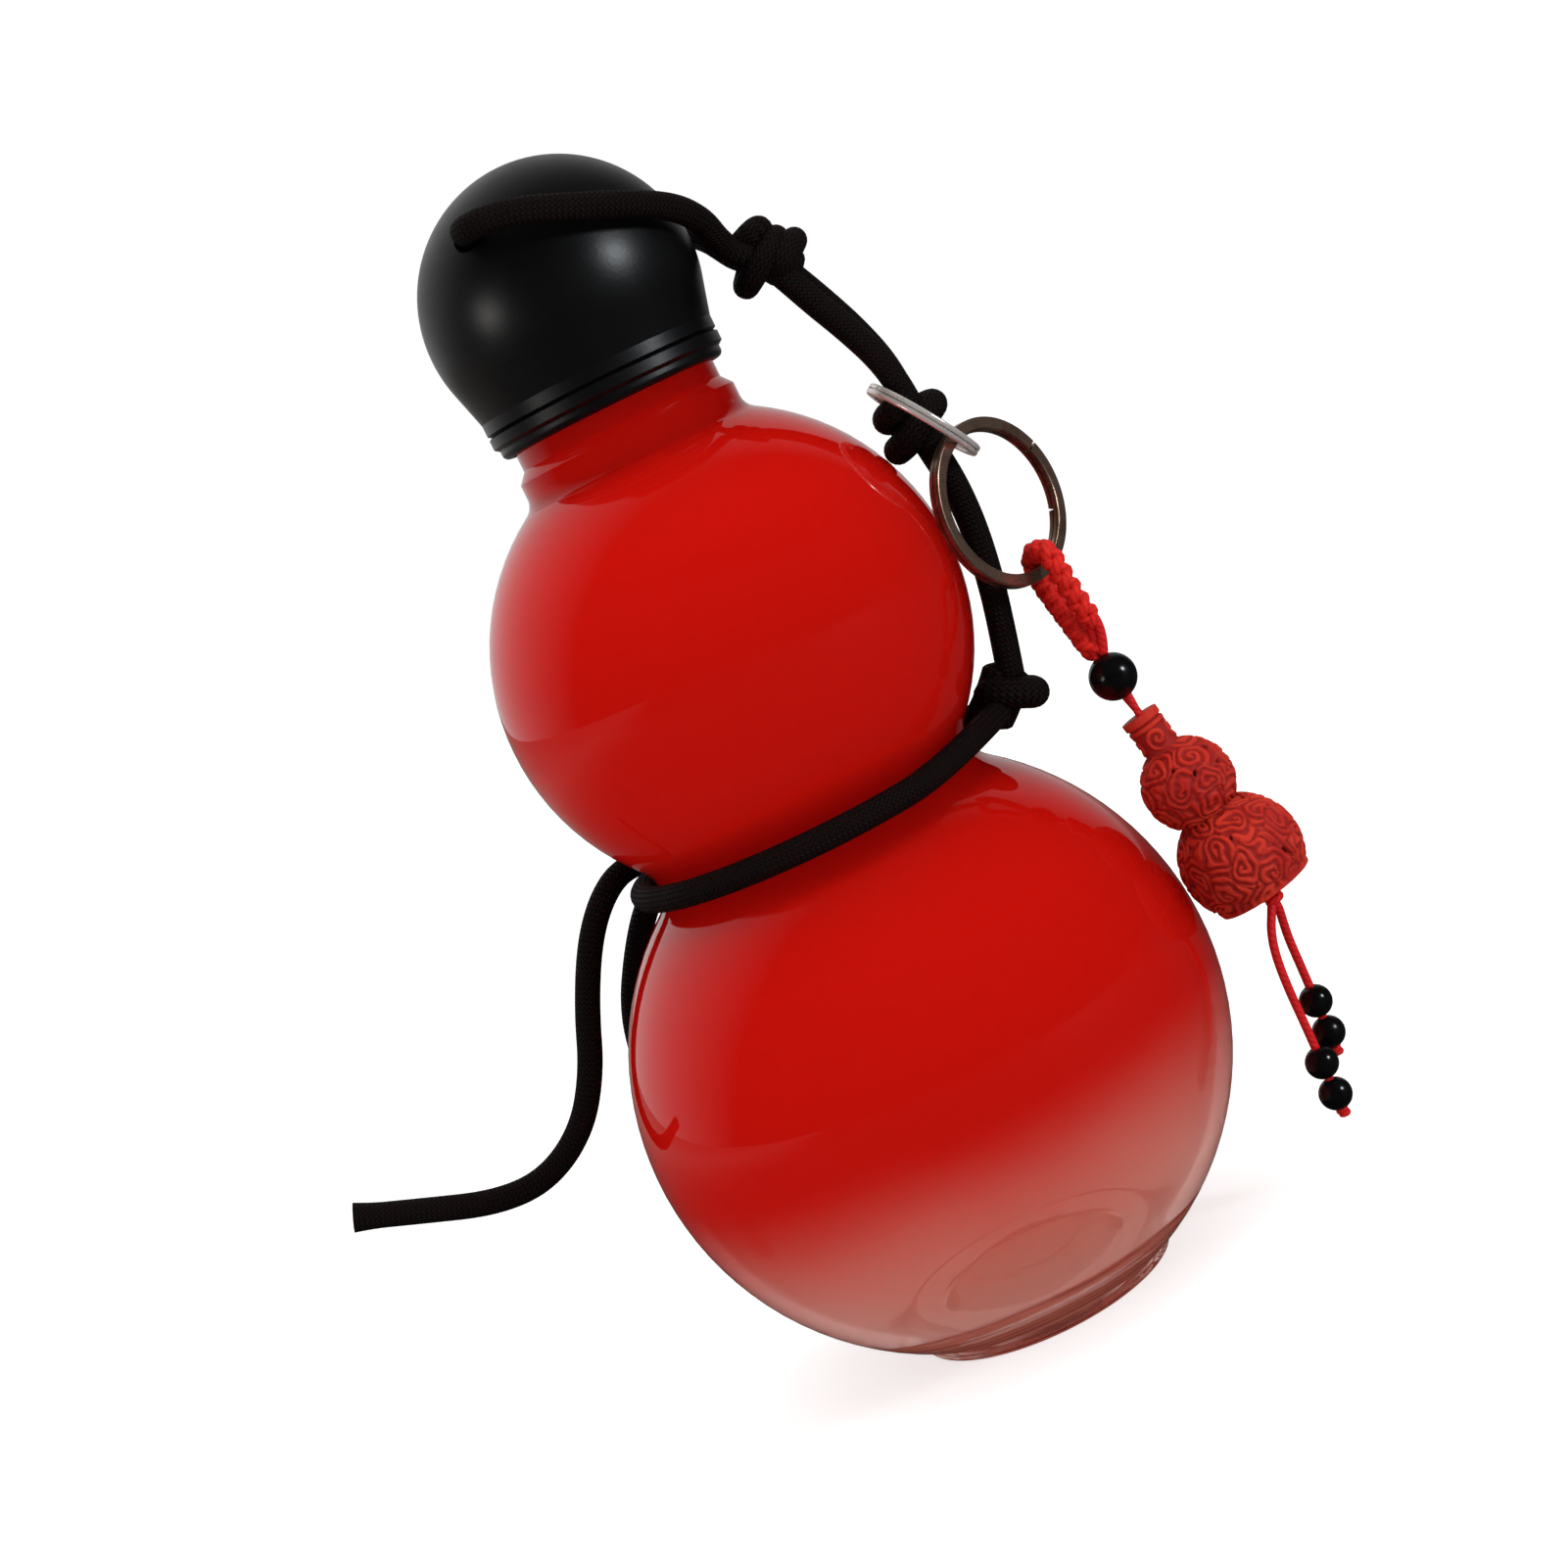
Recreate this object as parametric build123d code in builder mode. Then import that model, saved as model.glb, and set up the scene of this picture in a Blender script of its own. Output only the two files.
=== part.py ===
from build123d import *
import math
import os

# A gourd-shaped glass water bottle, standing upright. Its own axis is Z and its foot rests on Z = 0.
# The photographed side faces -Y. All sizes are in millimetres.

# Bottle: two bulbs, one above the other, on a low foot
low_bulb_radius = 50.4
high_bulb_radius = 39.8
bulb_overlap = 15.4
waist_radius = 28.4
wall = 2.6
floor_height = 8.0
floor_fillet = 12.0
floor_mark_radius = 10.6
floor_mark_height = 0.6
foot_radius = 22.9
foot_height = 2.0029
foot_edge_radius = 1.4
foot_ring_width = 4.5
punt_depth = 1.8
punt_slope = 2.5

# Neck: collar, straight part and threaded finish. Each stands on the one below it, the collar a little
# below the high bulb's own top.
collar_drop = 0.9
collar_step = 1.5
collar_slope = 1.8
collar_fillet = 3.0
neck_length = 4.8
neck_step = 1.7
finish_radius = 16.1
finish_length = 12.2
finish_step = 0.8
finish_wall = 2.7
throat_fillet = 5.0
lip_fillet = 1.0

# Screw thread, the same on the neck and in the liner
thread_lead = 4.0
thread_depth = 1.2
thread_foot_width = 1.6
thread_crest_width = 0.8
thread_root = 0.25
thread_clearance = 0.35
thread_start = 2.4
neck_thread_turns = 1.75
liner_thread_turns = 1.5

# Cap: a ball over a ribbed skirt that reaches down over the neck
ball_overhang = 2.6
ball_rise = 5.1
cap_wall = 2.2
skirt_overlap = 1.9
skirt_wall = 1.55
lip_inset = 0.8
lip_edge_radius = 1.0
lip_height = 1.7
rib_slope = 0.6
rib_height = 6.6
groove_depth = 0.6
groove_rise = 4.3
groove_half_width = 0.35
skirt_clearance = 0.5
cord_bore_rise = 14.5
cord_bore_azimuth = -118.5
cord_bore_clearance = 0.7
cord_bore_wall = 1.5

# Liner and gasket inside the cap
liner_start = 0.3
liner_wall = 1.3
liner_fit = 0.1
liner_roof = 1.6
gasket_thickness = 1.2
gasket_margin = 0.35

# Black cord
cord_diameter = 4.4

# Knots: centre, way of the cord, a side across it, and sizes along the cord, that side and the third way
knot_corner = 2.0
knot_edge = 1.0
top_knot = (Vector(33.3, -0.5, 175.7), Vector(0.5, 0, -0.866), Vector(0, 1, 0), (7.6, 10.4, 13.0))
ring_knot = (Vector(42.9, -1.2, 142.8), Vector(0.1, 0, -0.995), Vector(0, 1, 0), (8.6, 9.6, 10.4))
side_knot = (Vector(38.5, 0, 94.0), Vector(1, 0, 0), Vector(0, 1, 0), (10.0, 10.2, 8.0))
back_knot = (Vector(-25.4, 23.7, 91.6), Vector(-0.682, -0.731, 0), Vector(0, 0, 1), (10.0, 9.6, 9.0))

cap_cord_route = [
    (28.95, -2.8, 177.84),
    (26.9, -3.1, 181.4),
    (25.6, -7.6, 185.8),
    (21.6, -14.6, 189.3),
    (14.5, -21.2, 192.1),
    (6.9, -23.8, 195.0),
    (-0.2, -24.3, 197.8),
    (-6.3, -22.9, 198.9),
    (-8.8, -20.3, 199.0),
    (-9.2, -16.95, 199.0),
    (9.2, 16.95, 199.0),
    (12.2, 18.8, 198.2),
    (15.6, 18.4, 195.0),
    (19.8, 16.4, 190.0),
    (23.7, 11.3, 186.1),
    (25.9, 6.2, 183.6),
    (27.1, 2.0, 181.0),
    (28.95, 1.8, 177.84),
]
upper_front_route = [
    (33.9, -2.8, 172.2),
    (36.5, -2.8, 166.2),
    (39.5, -2.8, 160.0),
    (42.2, -3.2, 153.2),
    (43.3, -3.5, 146.6),
]
upper_rear_route = [
    (35.2, 1.8, 172.8),
    (38.3, 1.8, 166.2),
    (40.9, 1.7, 160.0),
    (43.0, 1.3, 153.2),
    (43.6, 1.1, 146.6),
]
lower_front_route = [
    (43.5, -3.4, 138.8),
    (44.8, -2.9, 131.4),
    (44.7, -2.5, 123.2),
    (43.3, -2.4, 114.4),
    (41.5, -2.4, 106.0),
    (39.3, -2.4, 97.4),
]
lower_rear_route = [
    (43.3, 1.2, 138.8),
    (44.5, 1.9, 131.4),
    (44.7, 2.3, 123.2),
    (43.6, 2.3, 114.4),
    (41.9, 2.3, 106.0),
    (39.6, 2.3, 97.4),
]
waist_front_route = [
    (34.6, -3.6, 93.2),
    (21.2, -24.1, 91.2),
    (6.4, -31.5, 91.1),
    (-10.2, -30.6, 91.1),
    (-24.1, -21.3, 91.2),
    (-31.6, -6.4, 91.4),
    (-31.0, 9.4, 91.5),
    (-26.8, 19.0, 91.6),
]
waist_rear_route = [
    (34.6, 3.6, 93.2),
    (21.2, 24.1, 91.4),
    (6.4, 31.5, 91.4),
    (-10.2, 31.0, 91.6),
    (-21.2, 26.8, 91.6),
]
tail_long_route = [
    (-29.9, 21.9, 93.9),
    (-33.4, 17.8, 95.0),
    (-38.8, 14.0, 92.4),
    (-44.1, 12.0, 86.4),
    (-49.4, 10.4, 76.6),
    (-53.3, 9.4, 66.9),
    (-59.3, 8.6, 58.6),
    (-68.2, 7.8, 53.8),
    (-77.6, 7.0, 54.3),
    (-89.0, 6.1, 58.8),
    (-99.9, 5.4, 63.2),
]
tail_short_route = [
    (-29.9, 21.9, 89.2),
    (-32.9, 18.8, 87.0),
    (-36.4, 17.0, 82.9),
    (-39.8, 16.8, 77.8),
    (-42.4, 18.2, 73.2),
    (-44.5, 20.5, 67.6),
    (-45.9, 23.2, 60.2),
    (-47.0, 24.6, 51.2),
    (-46.8, 25.2, 41.0),
    (-46.3, 24.8, 30.6),
    (-46.6, 24.4, 18.6),
]

# Split rings: centre, plane, centreline radius and section
small_ring_centre = Vector(44.35, -1.9, 141.5)
small_ring_down = Vector(0.554, 0, -0.833)
small_ring_radius = 9.5
small_ring_section = 1.8
large_ring_azimuth = 40.5
large_ring_radius = 13.3
large_ring_section = 2.2
ring_edge = 0.4
ring_slit = 0.24
ring_slit_depth = 0.5
ring_split_width = 0.5
ring_split_angle = 25.0
link_angle = -15.0
link_gap = 1.15

# Pendant: braided loop, thin cord, bead and carved charm
loop_cord_diameter = 3.2
loop_shift = 1.1
loop_bend = 4.2
loop_azimuth = -78.0
loop_gap = 0.8
loop_route_front = [(54.1, -8.4, 96.4), (53.7, -8.8, 104.0)]
loop_route_rear = [(49.8, -1.5, 104.6), (51.2, -6.6, 96.4)]
thin_cord_top = (52.7, -7.5, 97.6)
thin_cord_diameter = 1.3
bead_centre = Vector(53.6, -8.2, 90.7)
bead_diameter = 8.0
bead_bore_diameter = 2.1
charm_top = Vector(54.6, -8.6, 83.1)
charm_lean = Vector(6.8, -1.8, -36.7).normalized()
charm_length = 35.4
charm_neck_radius = 3.0
charm_rim_radius = 3.45
charm_rim_height = 1.2
charm_high_radius = 7.9
charm_high_depth = 13.8
charm_low_radius = 10.5
charm_low_depth = 28.6
charm_bore_diameter = 2.1
charm_recess_radius = 2.2
charm_recess_depth = 1.5
charm_knot_diameter = 3.4
charm_knot_depth = 36.8

# Tassels: a thin cord each, with beads on its straight end
tassel_cord_diameter = 1.2
tassel_bead_diameter = 5.6
tassel_bead_bore_diameter = 1.9
tassel_bead_gap = 0.1
tassel_knot_diameter = 2.2
left_tassel_route = [
    (60.2, -11.6, 44.8),
    (58.5, -12.6, 42.0),
    (57.4, -13.2, 38.0),
    (57.0, -13.2, 31.6),
    (57.0, -13.2, 25.0),
    (56.6, -13.2, 9.8),
]
left_knot_gap = 0.0168
right_tassel_route = [
    (61.9, -9.4, 44.6),
    (61.7, -8.2, 42.0),
    (61.4, -7.2, 38.0),
    (61.3, -7.2, 32.0),
    (60.7, -7.2, 17.8),
]
right_knot_gap = 0.1242


def fillet_between(low_height, low_radius, high_height, high_radius, throat):
    """Centre and radius of the arc that touches two bulbs and leaves the given throat radius."""
    span = high_height - low_height
    radius = wall
    for _ in range(20):
        rise = math.sqrt((low_radius + radius) ** 2 - (throat + radius) ** 2)
        drop = math.sqrt((high_radius + radius) ** 2 - (throat + radius) ** 2)
        slope = (low_radius - throat) / rise + (high_radius - throat) / drop
        radius -= (rise + drop - span) / slope
    rise = math.sqrt((low_radius + radius) ** 2 - (throat + radius) ** 2)
    return (throat + radius, low_height + rise), radius


def towards(centre, radius, target):
    """Point of a circle that faces a target point."""
    dx, dz = target[0] - centre[0], target[1] - centre[1]
    length = math.hypot(dx, dz)
    return (centre[0] + dx * radius / length, centre[1] + dz * radius / length)


def arc_about(centre, start, end):
    """Arc of less than half a circle about a centre, from start to end."""
    radius = math.dist(centre, start)
    middle = ((start[0] + end[0]) / 2, (start[1] + end[1]) / 2)
    return ThreePointArc(start, towards(centre, radius, middle), end)


def corner_radii(points):
    """Bend radius at each inner point of a route, as large as its two runs allow."""
    radii = []
    for before, corner, after in zip(points, points[1:], points[2:]):
        first, second = corner - before, after - corner
        half_turn = math.radians(first.get_angle(second)) / 2
        radii.append(0.45 * min(first.length, second.length) / math.tan(half_turn))
    return radii


def cord_tube(label, route, diameter):
    """Round cord along straight runs joined by tangent arcs. Its length and radii are printed."""
    points = [Vector(point) for point in route]
    radii = corner_radii(points)
    with BuildPart() as cord:
        with BuildLine() as path:
            FilletPolyline(*points, radius=radii)
        with BuildSketch(Plane(origin=points[0], z_dir=points[1] - points[0])):
            Circle(diameter / 2)
        sweep()
    cord.part.label = label
    length = path.wire().length
    share = cord.part.volume / (math.pi * diameter**2 / 4 * length)
    print(f"{label}: length {length:.1f}, volume ratio {share:.4f}, radii", [round(r, 1) for r in radii])
    return cord


def knot(label, centre, along, side, sizes):
    """Closed outer shape of a knot, as a rounded block on the cord that passes through it."""
    length, width, depth = sizes
    with BuildPart() as body:
        with BuildSketch(Plane(origin=centre - along * length / 2, x_dir=side, z_dir=along)):
            RectangleRounded(width, depth, knot_corner)
        extrude(amount=length)
        ends = body.faces().sort_by(Axis(centre, along))
        fillet(ends[0].edges() + ends[-1].edges(), knot_edge)
    body.part.label = label
    return body


def split_ring(label, centre, radial, normal, radius, section):
    """Two turns of flat wire side by side, with a slit between them and a gap at each wire end."""
    tangent = radial.cross(normal)
    turn = Plane(origin=centre, x_dir=radial, z_dir=normal)
    half = section / 2
    with BuildPart() as ring:
        with BuildSketch(Plane(origin=centre, x_dir=radial, z_dir=tangent)):
            with Locations((radius, 0)):
                RectangleRounded(section, section, ring_edge)
            for slit_radius in (radius + half - ring_slit_depth / 2, radius - half + ring_slit_depth / 2):
                with Locations((slit_radius, 0)):
                    Rectangle(ring_slit_depth, ring_slit, mode=Mode.SUBTRACT)
        revolve(axis=Axis(centre, normal))
        for side, angle in ((1, ring_split_angle), (-1, -ring_split_angle)):
            with BuildSketch(turn):
                with PolarLocations(radius, 1, start_angle=angle):
                    Rectangle(section * 2, ring_split_width)
            extrude(amount=side * section, mode=Mode.SUBTRACT)
    ring.part.label = label
    return ring


def bored_bead(label, centres, direction, diameter, bore_diameter):
    """Round beads on one line, each with a hole along that line."""
    with BuildPart() as beads:
        for centre in centres:
            with Locations(Plane(origin=centre, z_dir=direction)):
                Sphere(diameter / 2)
                Cylinder(bore_diameter / 2, diameter * 2, mode=Mode.SUBTRACT)
    beads.part.label = label
    return beads


def thread_rib(radius, depth, low, turns, start_angle):
    """Helical rib of a trapezoid section, standing out by the depth, or in where it is negative."""
    inset = math.copysign(thread_root, depth)
    with BuildPart() as rib:
        with BuildLine() as route:
            Helix(thread_lead, thread_lead * turns, radius, center=(0, 0, low))
        start = Plane(origin=route.line @ 0, x_dir=(1, 0, 0), z_dir=route.line % 0)
        with BuildSketch(start):
            Polygon(
                (-inset, -thread_foot_width / 2),
                (depth, -thread_crest_width / 2),
                (depth, thread_crest_width / 2),
                (-inset, thread_foot_width / 2),
                align=None,
            )
        sweep(path=route.wire(), is_frenet=True)
    return rib.part.rotate(Axis.Z, start_angle)


def write(node):
    export_step(node.part, f"parts/{node.part.label}.step")


os.makedirs("parts", exist_ok=True)

# Bottle. The outline runs up the outside and down the inside.
low_bulb_height = foot_height + math.sqrt(low_bulb_radius**2 - foot_radius**2)
high_bulb_height = low_bulb_height + low_bulb_radius + high_bulb_radius - bulb_overlap
collar_top = high_bulb_height + high_bulb_radius - collar_drop
neck_low = collar_top + collar_slope
finish_low = neck_low + neck_length
mouth_height = finish_low + finish_length
neck_thread_low = finish_low + thread_start
mouth_radius = finish_radius - finish_wall
neck_radius = finish_radius + neck_step
collar_radius = neck_radius + collar_step

low_centre = (0, low_bulb_height)
high_centre = (0, high_bulb_height)
waist_centre, waist_fillet = fillet_between(
    low_bulb_height, low_bulb_radius, high_bulb_height, high_bulb_radius, waist_radius
)
waist_low = towards(waist_centre, waist_fillet, low_centre)
waist_high = towards(waist_centre, waist_fillet, high_centre)
collar_centre_radius = collar_radius + collar_fillet
collar_rise = math.sqrt((high_bulb_radius + collar_fillet) ** 2 - collar_centre_radius**2)
collar_centre = (collar_centre_radius, high_bulb_height + collar_rise)
collar_foot = towards(collar_centre, collar_fillet, high_centre)

inner_low_radius = low_bulb_radius - wall
inner_high_radius = high_bulb_radius - wall
inner_waist_fillet = waist_fillet + wall
inner_waist_low = towards(waist_centre, inner_waist_fillet, low_centre)
inner_waist_high = towards(waist_centre, inner_waist_fillet, high_centre)
throat_rise = math.sqrt((inner_high_radius + throat_fillet) ** 2 - (mouth_radius + throat_fillet) ** 2)
throat_centre = (mouth_radius + throat_fillet, high_bulb_height + throat_rise)
throat_foot = towards(throat_centre, throat_fillet, high_centre)
floor_reach = inner_low_radius - floor_fillet
floor_drop = low_bulb_height - floor_height - floor_fillet
floor_radius = math.sqrt(floor_reach**2 - floor_drop**2)
floor_centre = (floor_radius, floor_height + floor_fillet)
floor_side = (
    floor_centre[0] * inner_low_radius / floor_reach,
    low_bulb_height - floor_drop * inner_low_radius / floor_reach,
)
ring_inner = foot_radius - foot_edge_radius - foot_ring_width

with BuildPart() as bottle_shell:
    with BuildSketch(Plane.XZ):
        with BuildLine():
            Polyline(
                (0, punt_depth),
                (ring_inner - punt_slope, punt_depth),
                (ring_inner, 0),
                (foot_radius - foot_edge_radius, 0),
            )
            arc_about(
                (foot_radius - foot_edge_radius, foot_edge_radius),
                (foot_radius - foot_edge_radius, 0),
                (foot_radius, foot_edge_radius),
            )
            Line((foot_radius, foot_edge_radius), (foot_radius, foot_height))
            arc_about(low_centre, (foot_radius, foot_height), waist_low)
            arc_about(waist_centre, waist_low, waist_high)
            arc_about(high_centre, waist_high, collar_foot)
            arc_about(collar_centre, collar_foot, (collar_radius, collar_centre[1]))
            Polyline(
                (collar_radius, collar_centre[1]),
                (collar_radius, collar_top),
                (neck_radius, neck_low),
                (neck_radius, finish_low),
                (finish_radius, finish_low + finish_step),
                (finish_radius, mouth_height - lip_fillet),
            )
            arc_about(
                (finish_radius - lip_fillet, mouth_height - lip_fillet),
                (finish_radius, mouth_height - lip_fillet),
                (finish_radius - lip_fillet, mouth_height),
            )
            Polyline(
                (finish_radius - lip_fillet, mouth_height),
                (mouth_radius, mouth_height),
                (mouth_radius, throat_centre[1]),
            )
            arc_about(throat_centre, (mouth_radius, throat_centre[1]), throat_foot)
            arc_about(high_centre, throat_foot, inner_waist_high)
            arc_about(waist_centre, inner_waist_high, inner_waist_low)
            arc_about(low_centre, inner_waist_low, floor_side)
            arc_about(floor_centre, floor_side, (floor_radius, floor_height))
            Polyline(
                (floor_radius, floor_height),
                (floor_mark_radius, floor_height),
                (floor_mark_radius - floor_mark_height, floor_height + floor_mark_height),
                (0, floor_height + floor_mark_height),
                (0, punt_depth),
            )
        make_face()
    revolve(axis=Axis.Z)
    add(thread_rib(finish_radius, thread_depth, neck_thread_low, neck_thread_turns, 0))
bottle_shell.part.label = "bottle_shell"

# Cap. Its cord passes through a cross tube under the top of the ball.
liner_bore = finish_radius + thread_depth + thread_clearance
liner_radius = liner_bore + liner_wall
liner_low = finish_low + liner_start
skirt_bore = liner_radius + liner_fit
skirt_low = finish_low - skirt_overlap
lip_high = skirt_low + lip_height
rib_high = skirt_low + rib_height
groove_height = skirt_low + groove_rise
rib_radius = skirt_bore + skirt_wall
lip_radius = rib_radius - lip_inset
groove_radius = rib_radius - groove_depth
ball_radius = rib_radius + ball_overhang
ball_height = mouth_height + ball_rise
inner_ball_radius = ball_radius - cap_wall
inner_ball_low = ball_height - math.sqrt(inner_ball_radius**2 - skirt_bore**2)
rib_reach = math.hypot(rib_radius, ball_height - rib_high)
rib_angle = math.atan2(rib_high - ball_height, rib_radius) + math.acos(ball_radius / rib_reach)
ball_foot = (ball_radius * math.cos(rib_angle), ball_height + ball_radius * math.sin(rib_angle))
cord_bore_radius = cord_diameter / 2 + cord_bore_clearance
cord_bore_direction = Vector(1, 0, 0).rotate(Axis.Z, cord_bore_azimuth)
cross_tube_plane = Plane(origin=(0, 0, ball_height + cord_bore_rise), z_dir=cord_bore_direction)

with BuildPart() as cross_tube:
    with Locations((0, 0, ball_height)):
        Sphere(ball_radius - cap_wall / 2)
    with Locations(cross_tube_plane):
        Cylinder(cord_bore_radius + cord_bore_wall, 2 * ball_radius, mode=Mode.INTERSECT)

with BuildPart() as cap_ball:
    with BuildSketch(Plane.XZ):
        with BuildLine():
            Polyline(
                (0, inner_ball_radius + ball_height),
                (0, ball_radius + ball_height),
            )
            arc_about((0, ball_height), (0, ball_radius + ball_height), ball_foot)
            Polyline(
                ball_foot,
                (rib_radius, rib_high),
                (rib_radius, groove_height + groove_half_width),
                (groove_radius, groove_height),
                (rib_radius, groove_height - groove_half_width),
                (rib_radius, lip_high + rib_slope),
                (lip_radius, lip_high),
                (lip_radius, skirt_low + lip_edge_radius),
            )
            arc_about(
                (lip_radius - lip_edge_radius, skirt_low + lip_edge_radius),
                (lip_radius, skirt_low + lip_edge_radius),
                (lip_radius - lip_edge_radius, skirt_low),
            )
            Polyline(
                (lip_radius - lip_edge_radius, skirt_low),
                (neck_radius + skirt_clearance, skirt_low),
                (neck_radius + skirt_clearance, liner_low),
                (skirt_bore, liner_low),
                (skirt_bore, inner_ball_low),
            )
            arc_about((0, ball_height), (skirt_bore, inner_ball_low), (0, inner_ball_radius + ball_height))
        make_face()
    revolve(axis=Axis.Z)
    add(cross_tube.part)
    with Locations(cross_tube_plane):
        Cylinder(cord_bore_radius, 4 * ball_radius, mode=Mode.SUBTRACT)
cap_ball.part.label = "cap_ball"

# Liner: a threaded sleeve with a closed roof that holds the gasket on the mouth
roof_low = mouth_height + gasket_thickness
with BuildPart() as cap_liner:
    with BuildSketch(Plane.XY.offset(liner_low)):
        Circle(liner_radius)
    extrude(amount=roof_low + liner_roof - liner_low)
    with BuildSketch(Plane.XY.offset(liner_low)):
        Circle(liner_bore)
    extrude(amount=roof_low - liner_low, mode=Mode.SUBTRACT)
    add(thread_rib(liner_bore, -thread_depth, neck_thread_low, liner_thread_turns, 180))
cap_liner.part.label = "cap_liner"

with BuildPart() as cap_gasket:
    with BuildSketch(Plane.XY.offset(mouth_height)):
        Circle(liner_bore - gasket_margin)
    extrude(amount=gasket_thickness)
cap_gasket.part.label = "cap_gasket"

# Cord, its knots and its two ends
cap_cord = cord_tube("cap_cord", cap_cord_route, cord_diameter)
knot_top = knot("knot_top", *top_knot)
strap_upper_front = cord_tube("strap_upper_front", upper_front_route, cord_diameter)
strap_upper_rear = cord_tube("strap_upper_rear", upper_rear_route, cord_diameter)
knot_ring = knot("knot_ring", *ring_knot)
strap_lower_front = cord_tube("strap_lower_front", lower_front_route, cord_diameter)
strap_lower_rear = cord_tube("strap_lower_rear", lower_rear_route, cord_diameter)
knot_side = knot("knot_side", *side_knot)
waist_cord_front = cord_tube("waist_cord_front", waist_front_route, cord_diameter)
waist_cord_rear = cord_tube("waist_cord_rear", waist_rear_route, cord_diameter)
knot_back = knot("knot_back", *back_knot)
tail_long = cord_tube("tail_long", tail_long_route, cord_diameter)
tail_short = cord_tube("tail_short", tail_short_route, cord_diameter)

# Split rings. The large one hangs on the lowest stretch of the small one.
small_ring_normal = small_ring_down.cross(Vector(0, 1, 0))
link_way = small_ring_down.rotate(Axis((0, 0, 0), small_ring_normal), link_angle)
link_point = small_ring_centre + link_way * small_ring_radius
link_reach = small_ring_section / math.sqrt(2) + large_ring_section / 2 + link_gap
large_ring_centre = link_point + Vector(0, 0, link_reach - large_ring_radius)
large_ring_run = Vector(1, 0, 0).rotate(Axis.Z, large_ring_azimuth)
large_ring_normal = large_ring_run.cross(Vector(0, 0, 1))
ring_small = split_ring(
    "ring_small",
    small_ring_centre,
    -small_ring_down,
    small_ring_normal,
    small_ring_radius,
    small_ring_section,
)
ring_large = split_ring(
    "ring_large",
    large_ring_centre,
    large_ring_run,
    large_ring_normal,
    large_ring_radius,
    large_ring_section,
)

# Braided loop, folded over the lowest stretch of the large ring
loop_out = Vector(1, 0, 0).rotate(Axis.Z, loop_azimuth) * loop_bend
loop_seat = large_ring_centre + large_ring_run * loop_shift - Vector(0, 0, large_ring_radius)
loop_crown = loop_seat + Vector(0, 0, (large_ring_section + loop_cord_diameter) / 2 + loop_gap)
pendant_loop = cord_tube(
    "pendant_loop",
    [*loop_route_front, loop_crown + loop_out, loop_crown - loop_out, *loop_route_rear],
    loop_cord_diameter,
)

# Thin cord through the bead and the charm, down to the knot that holds the charm on
charm_end = charm_top + charm_lean * charm_knot_depth
bead_direction = (charm_top - Vector(thin_cord_top)).normalized()
pendant_cord = cord_tube(
    "pendant_cord",
    [thin_cord_top, charm_top - charm_lean * 1.5, charm_end],
    thin_cord_diameter,
)
round_bead = bored_bead("round_bead", [bead_centre], bead_direction, bead_diameter, bead_bore_diameter)

# Charm: a small gourd, turned about its own leaning axis
charm_up = -charm_lean
charm_side = charm_up.cross(Vector(0, 1, 0)).normalized()
charm_plane = Plane(origin=charm_top, x_dir=charm_side, z_dir=charm_side.cross(charm_up))
high_top_depth = charm_high_depth - math.sqrt(charm_high_radius**2 - charm_neck_radius**2)
ball_spacing = charm_low_depth - charm_high_depth
crease_drop = (ball_spacing**2 + charm_high_radius**2 - charm_low_radius**2) / (2 * ball_spacing)
crease = (math.sqrt(charm_high_radius**2 - crease_drop**2), -charm_high_depth - crease_drop)
charm_foot_radius = math.sqrt(charm_low_radius**2 - (charm_length - charm_low_depth) ** 2)
with BuildPart() as gourd_charm:
    with BuildSketch(charm_plane):
        with BuildLine():
            Polyline(
                (charm_recess_radius, charm_recess_depth - charm_length),
                (charm_bore_diameter / 2, charm_recess_depth - charm_length),
                (charm_bore_diameter / 2, 0),
                (charm_rim_radius, 0),
                (charm_rim_radius, -charm_rim_height),
                (charm_neck_radius, -2 * charm_rim_height),
                (charm_neck_radius, -high_top_depth),
            )
            arc_about((0, -charm_high_depth), (charm_neck_radius, -high_top_depth), crease)
            arc_about((0, -charm_low_depth), crease, (charm_foot_radius, -charm_length))
            Polyline(
                (charm_foot_radius, -charm_length),
                (charm_recess_radius, -charm_length),
                (charm_recess_radius, charm_recess_depth - charm_length),
            )
        make_face()
    revolve(axis=Axis(charm_top, charm_up))
gourd_charm.part.label = "gourd_charm"

with BuildPart(Plane(origin=charm_end, z_dir=charm_lean)) as charm_knot:
    Sphere(charm_knot_diameter / 2)
charm_knot.part.label = "charm_knot"


def tassel(side, route, knot_gap):
    """Thin cord, the knot at its end and two beads above it, the lower one over the knot by a gap."""
    cord = cord_tube(f"tassel_cord_{side}", route, tassel_cord_diameter)
    last, end = Vector(route[-2]), Vector(route[-1])
    along = (end - last).normalized()
    bore_radius = tassel_bead_bore_diameter / 2
    bead_seat = math.sqrt((tassel_bead_diameter / 2) ** 2 - bore_radius**2)
    knot_seat = math.sqrt((tassel_knot_diameter / 2) ** 2 - bore_radius**2)
    lower = end - along * (bead_seat + knot_seat + knot_gap)
    centres = [lower - along * (tassel_bead_diameter + tassel_bead_gap), lower]
    beads = bored_bead(
        f"tassel_beads_{side}", centres, along, tassel_bead_diameter, tassel_bead_bore_diameter
    )
    with BuildPart(Plane(origin=end, z_dir=along)) as end_knot:
        Sphere(tassel_knot_diameter / 2)
    end_knot.part.label = f"tassel_knot_{side}"
    return [cord, beads, end_knot]


left_tassel = tassel("left", left_tassel_route, left_knot_gap)
right_tassel = tassel("right", right_tassel_route, right_knot_gap)

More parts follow.
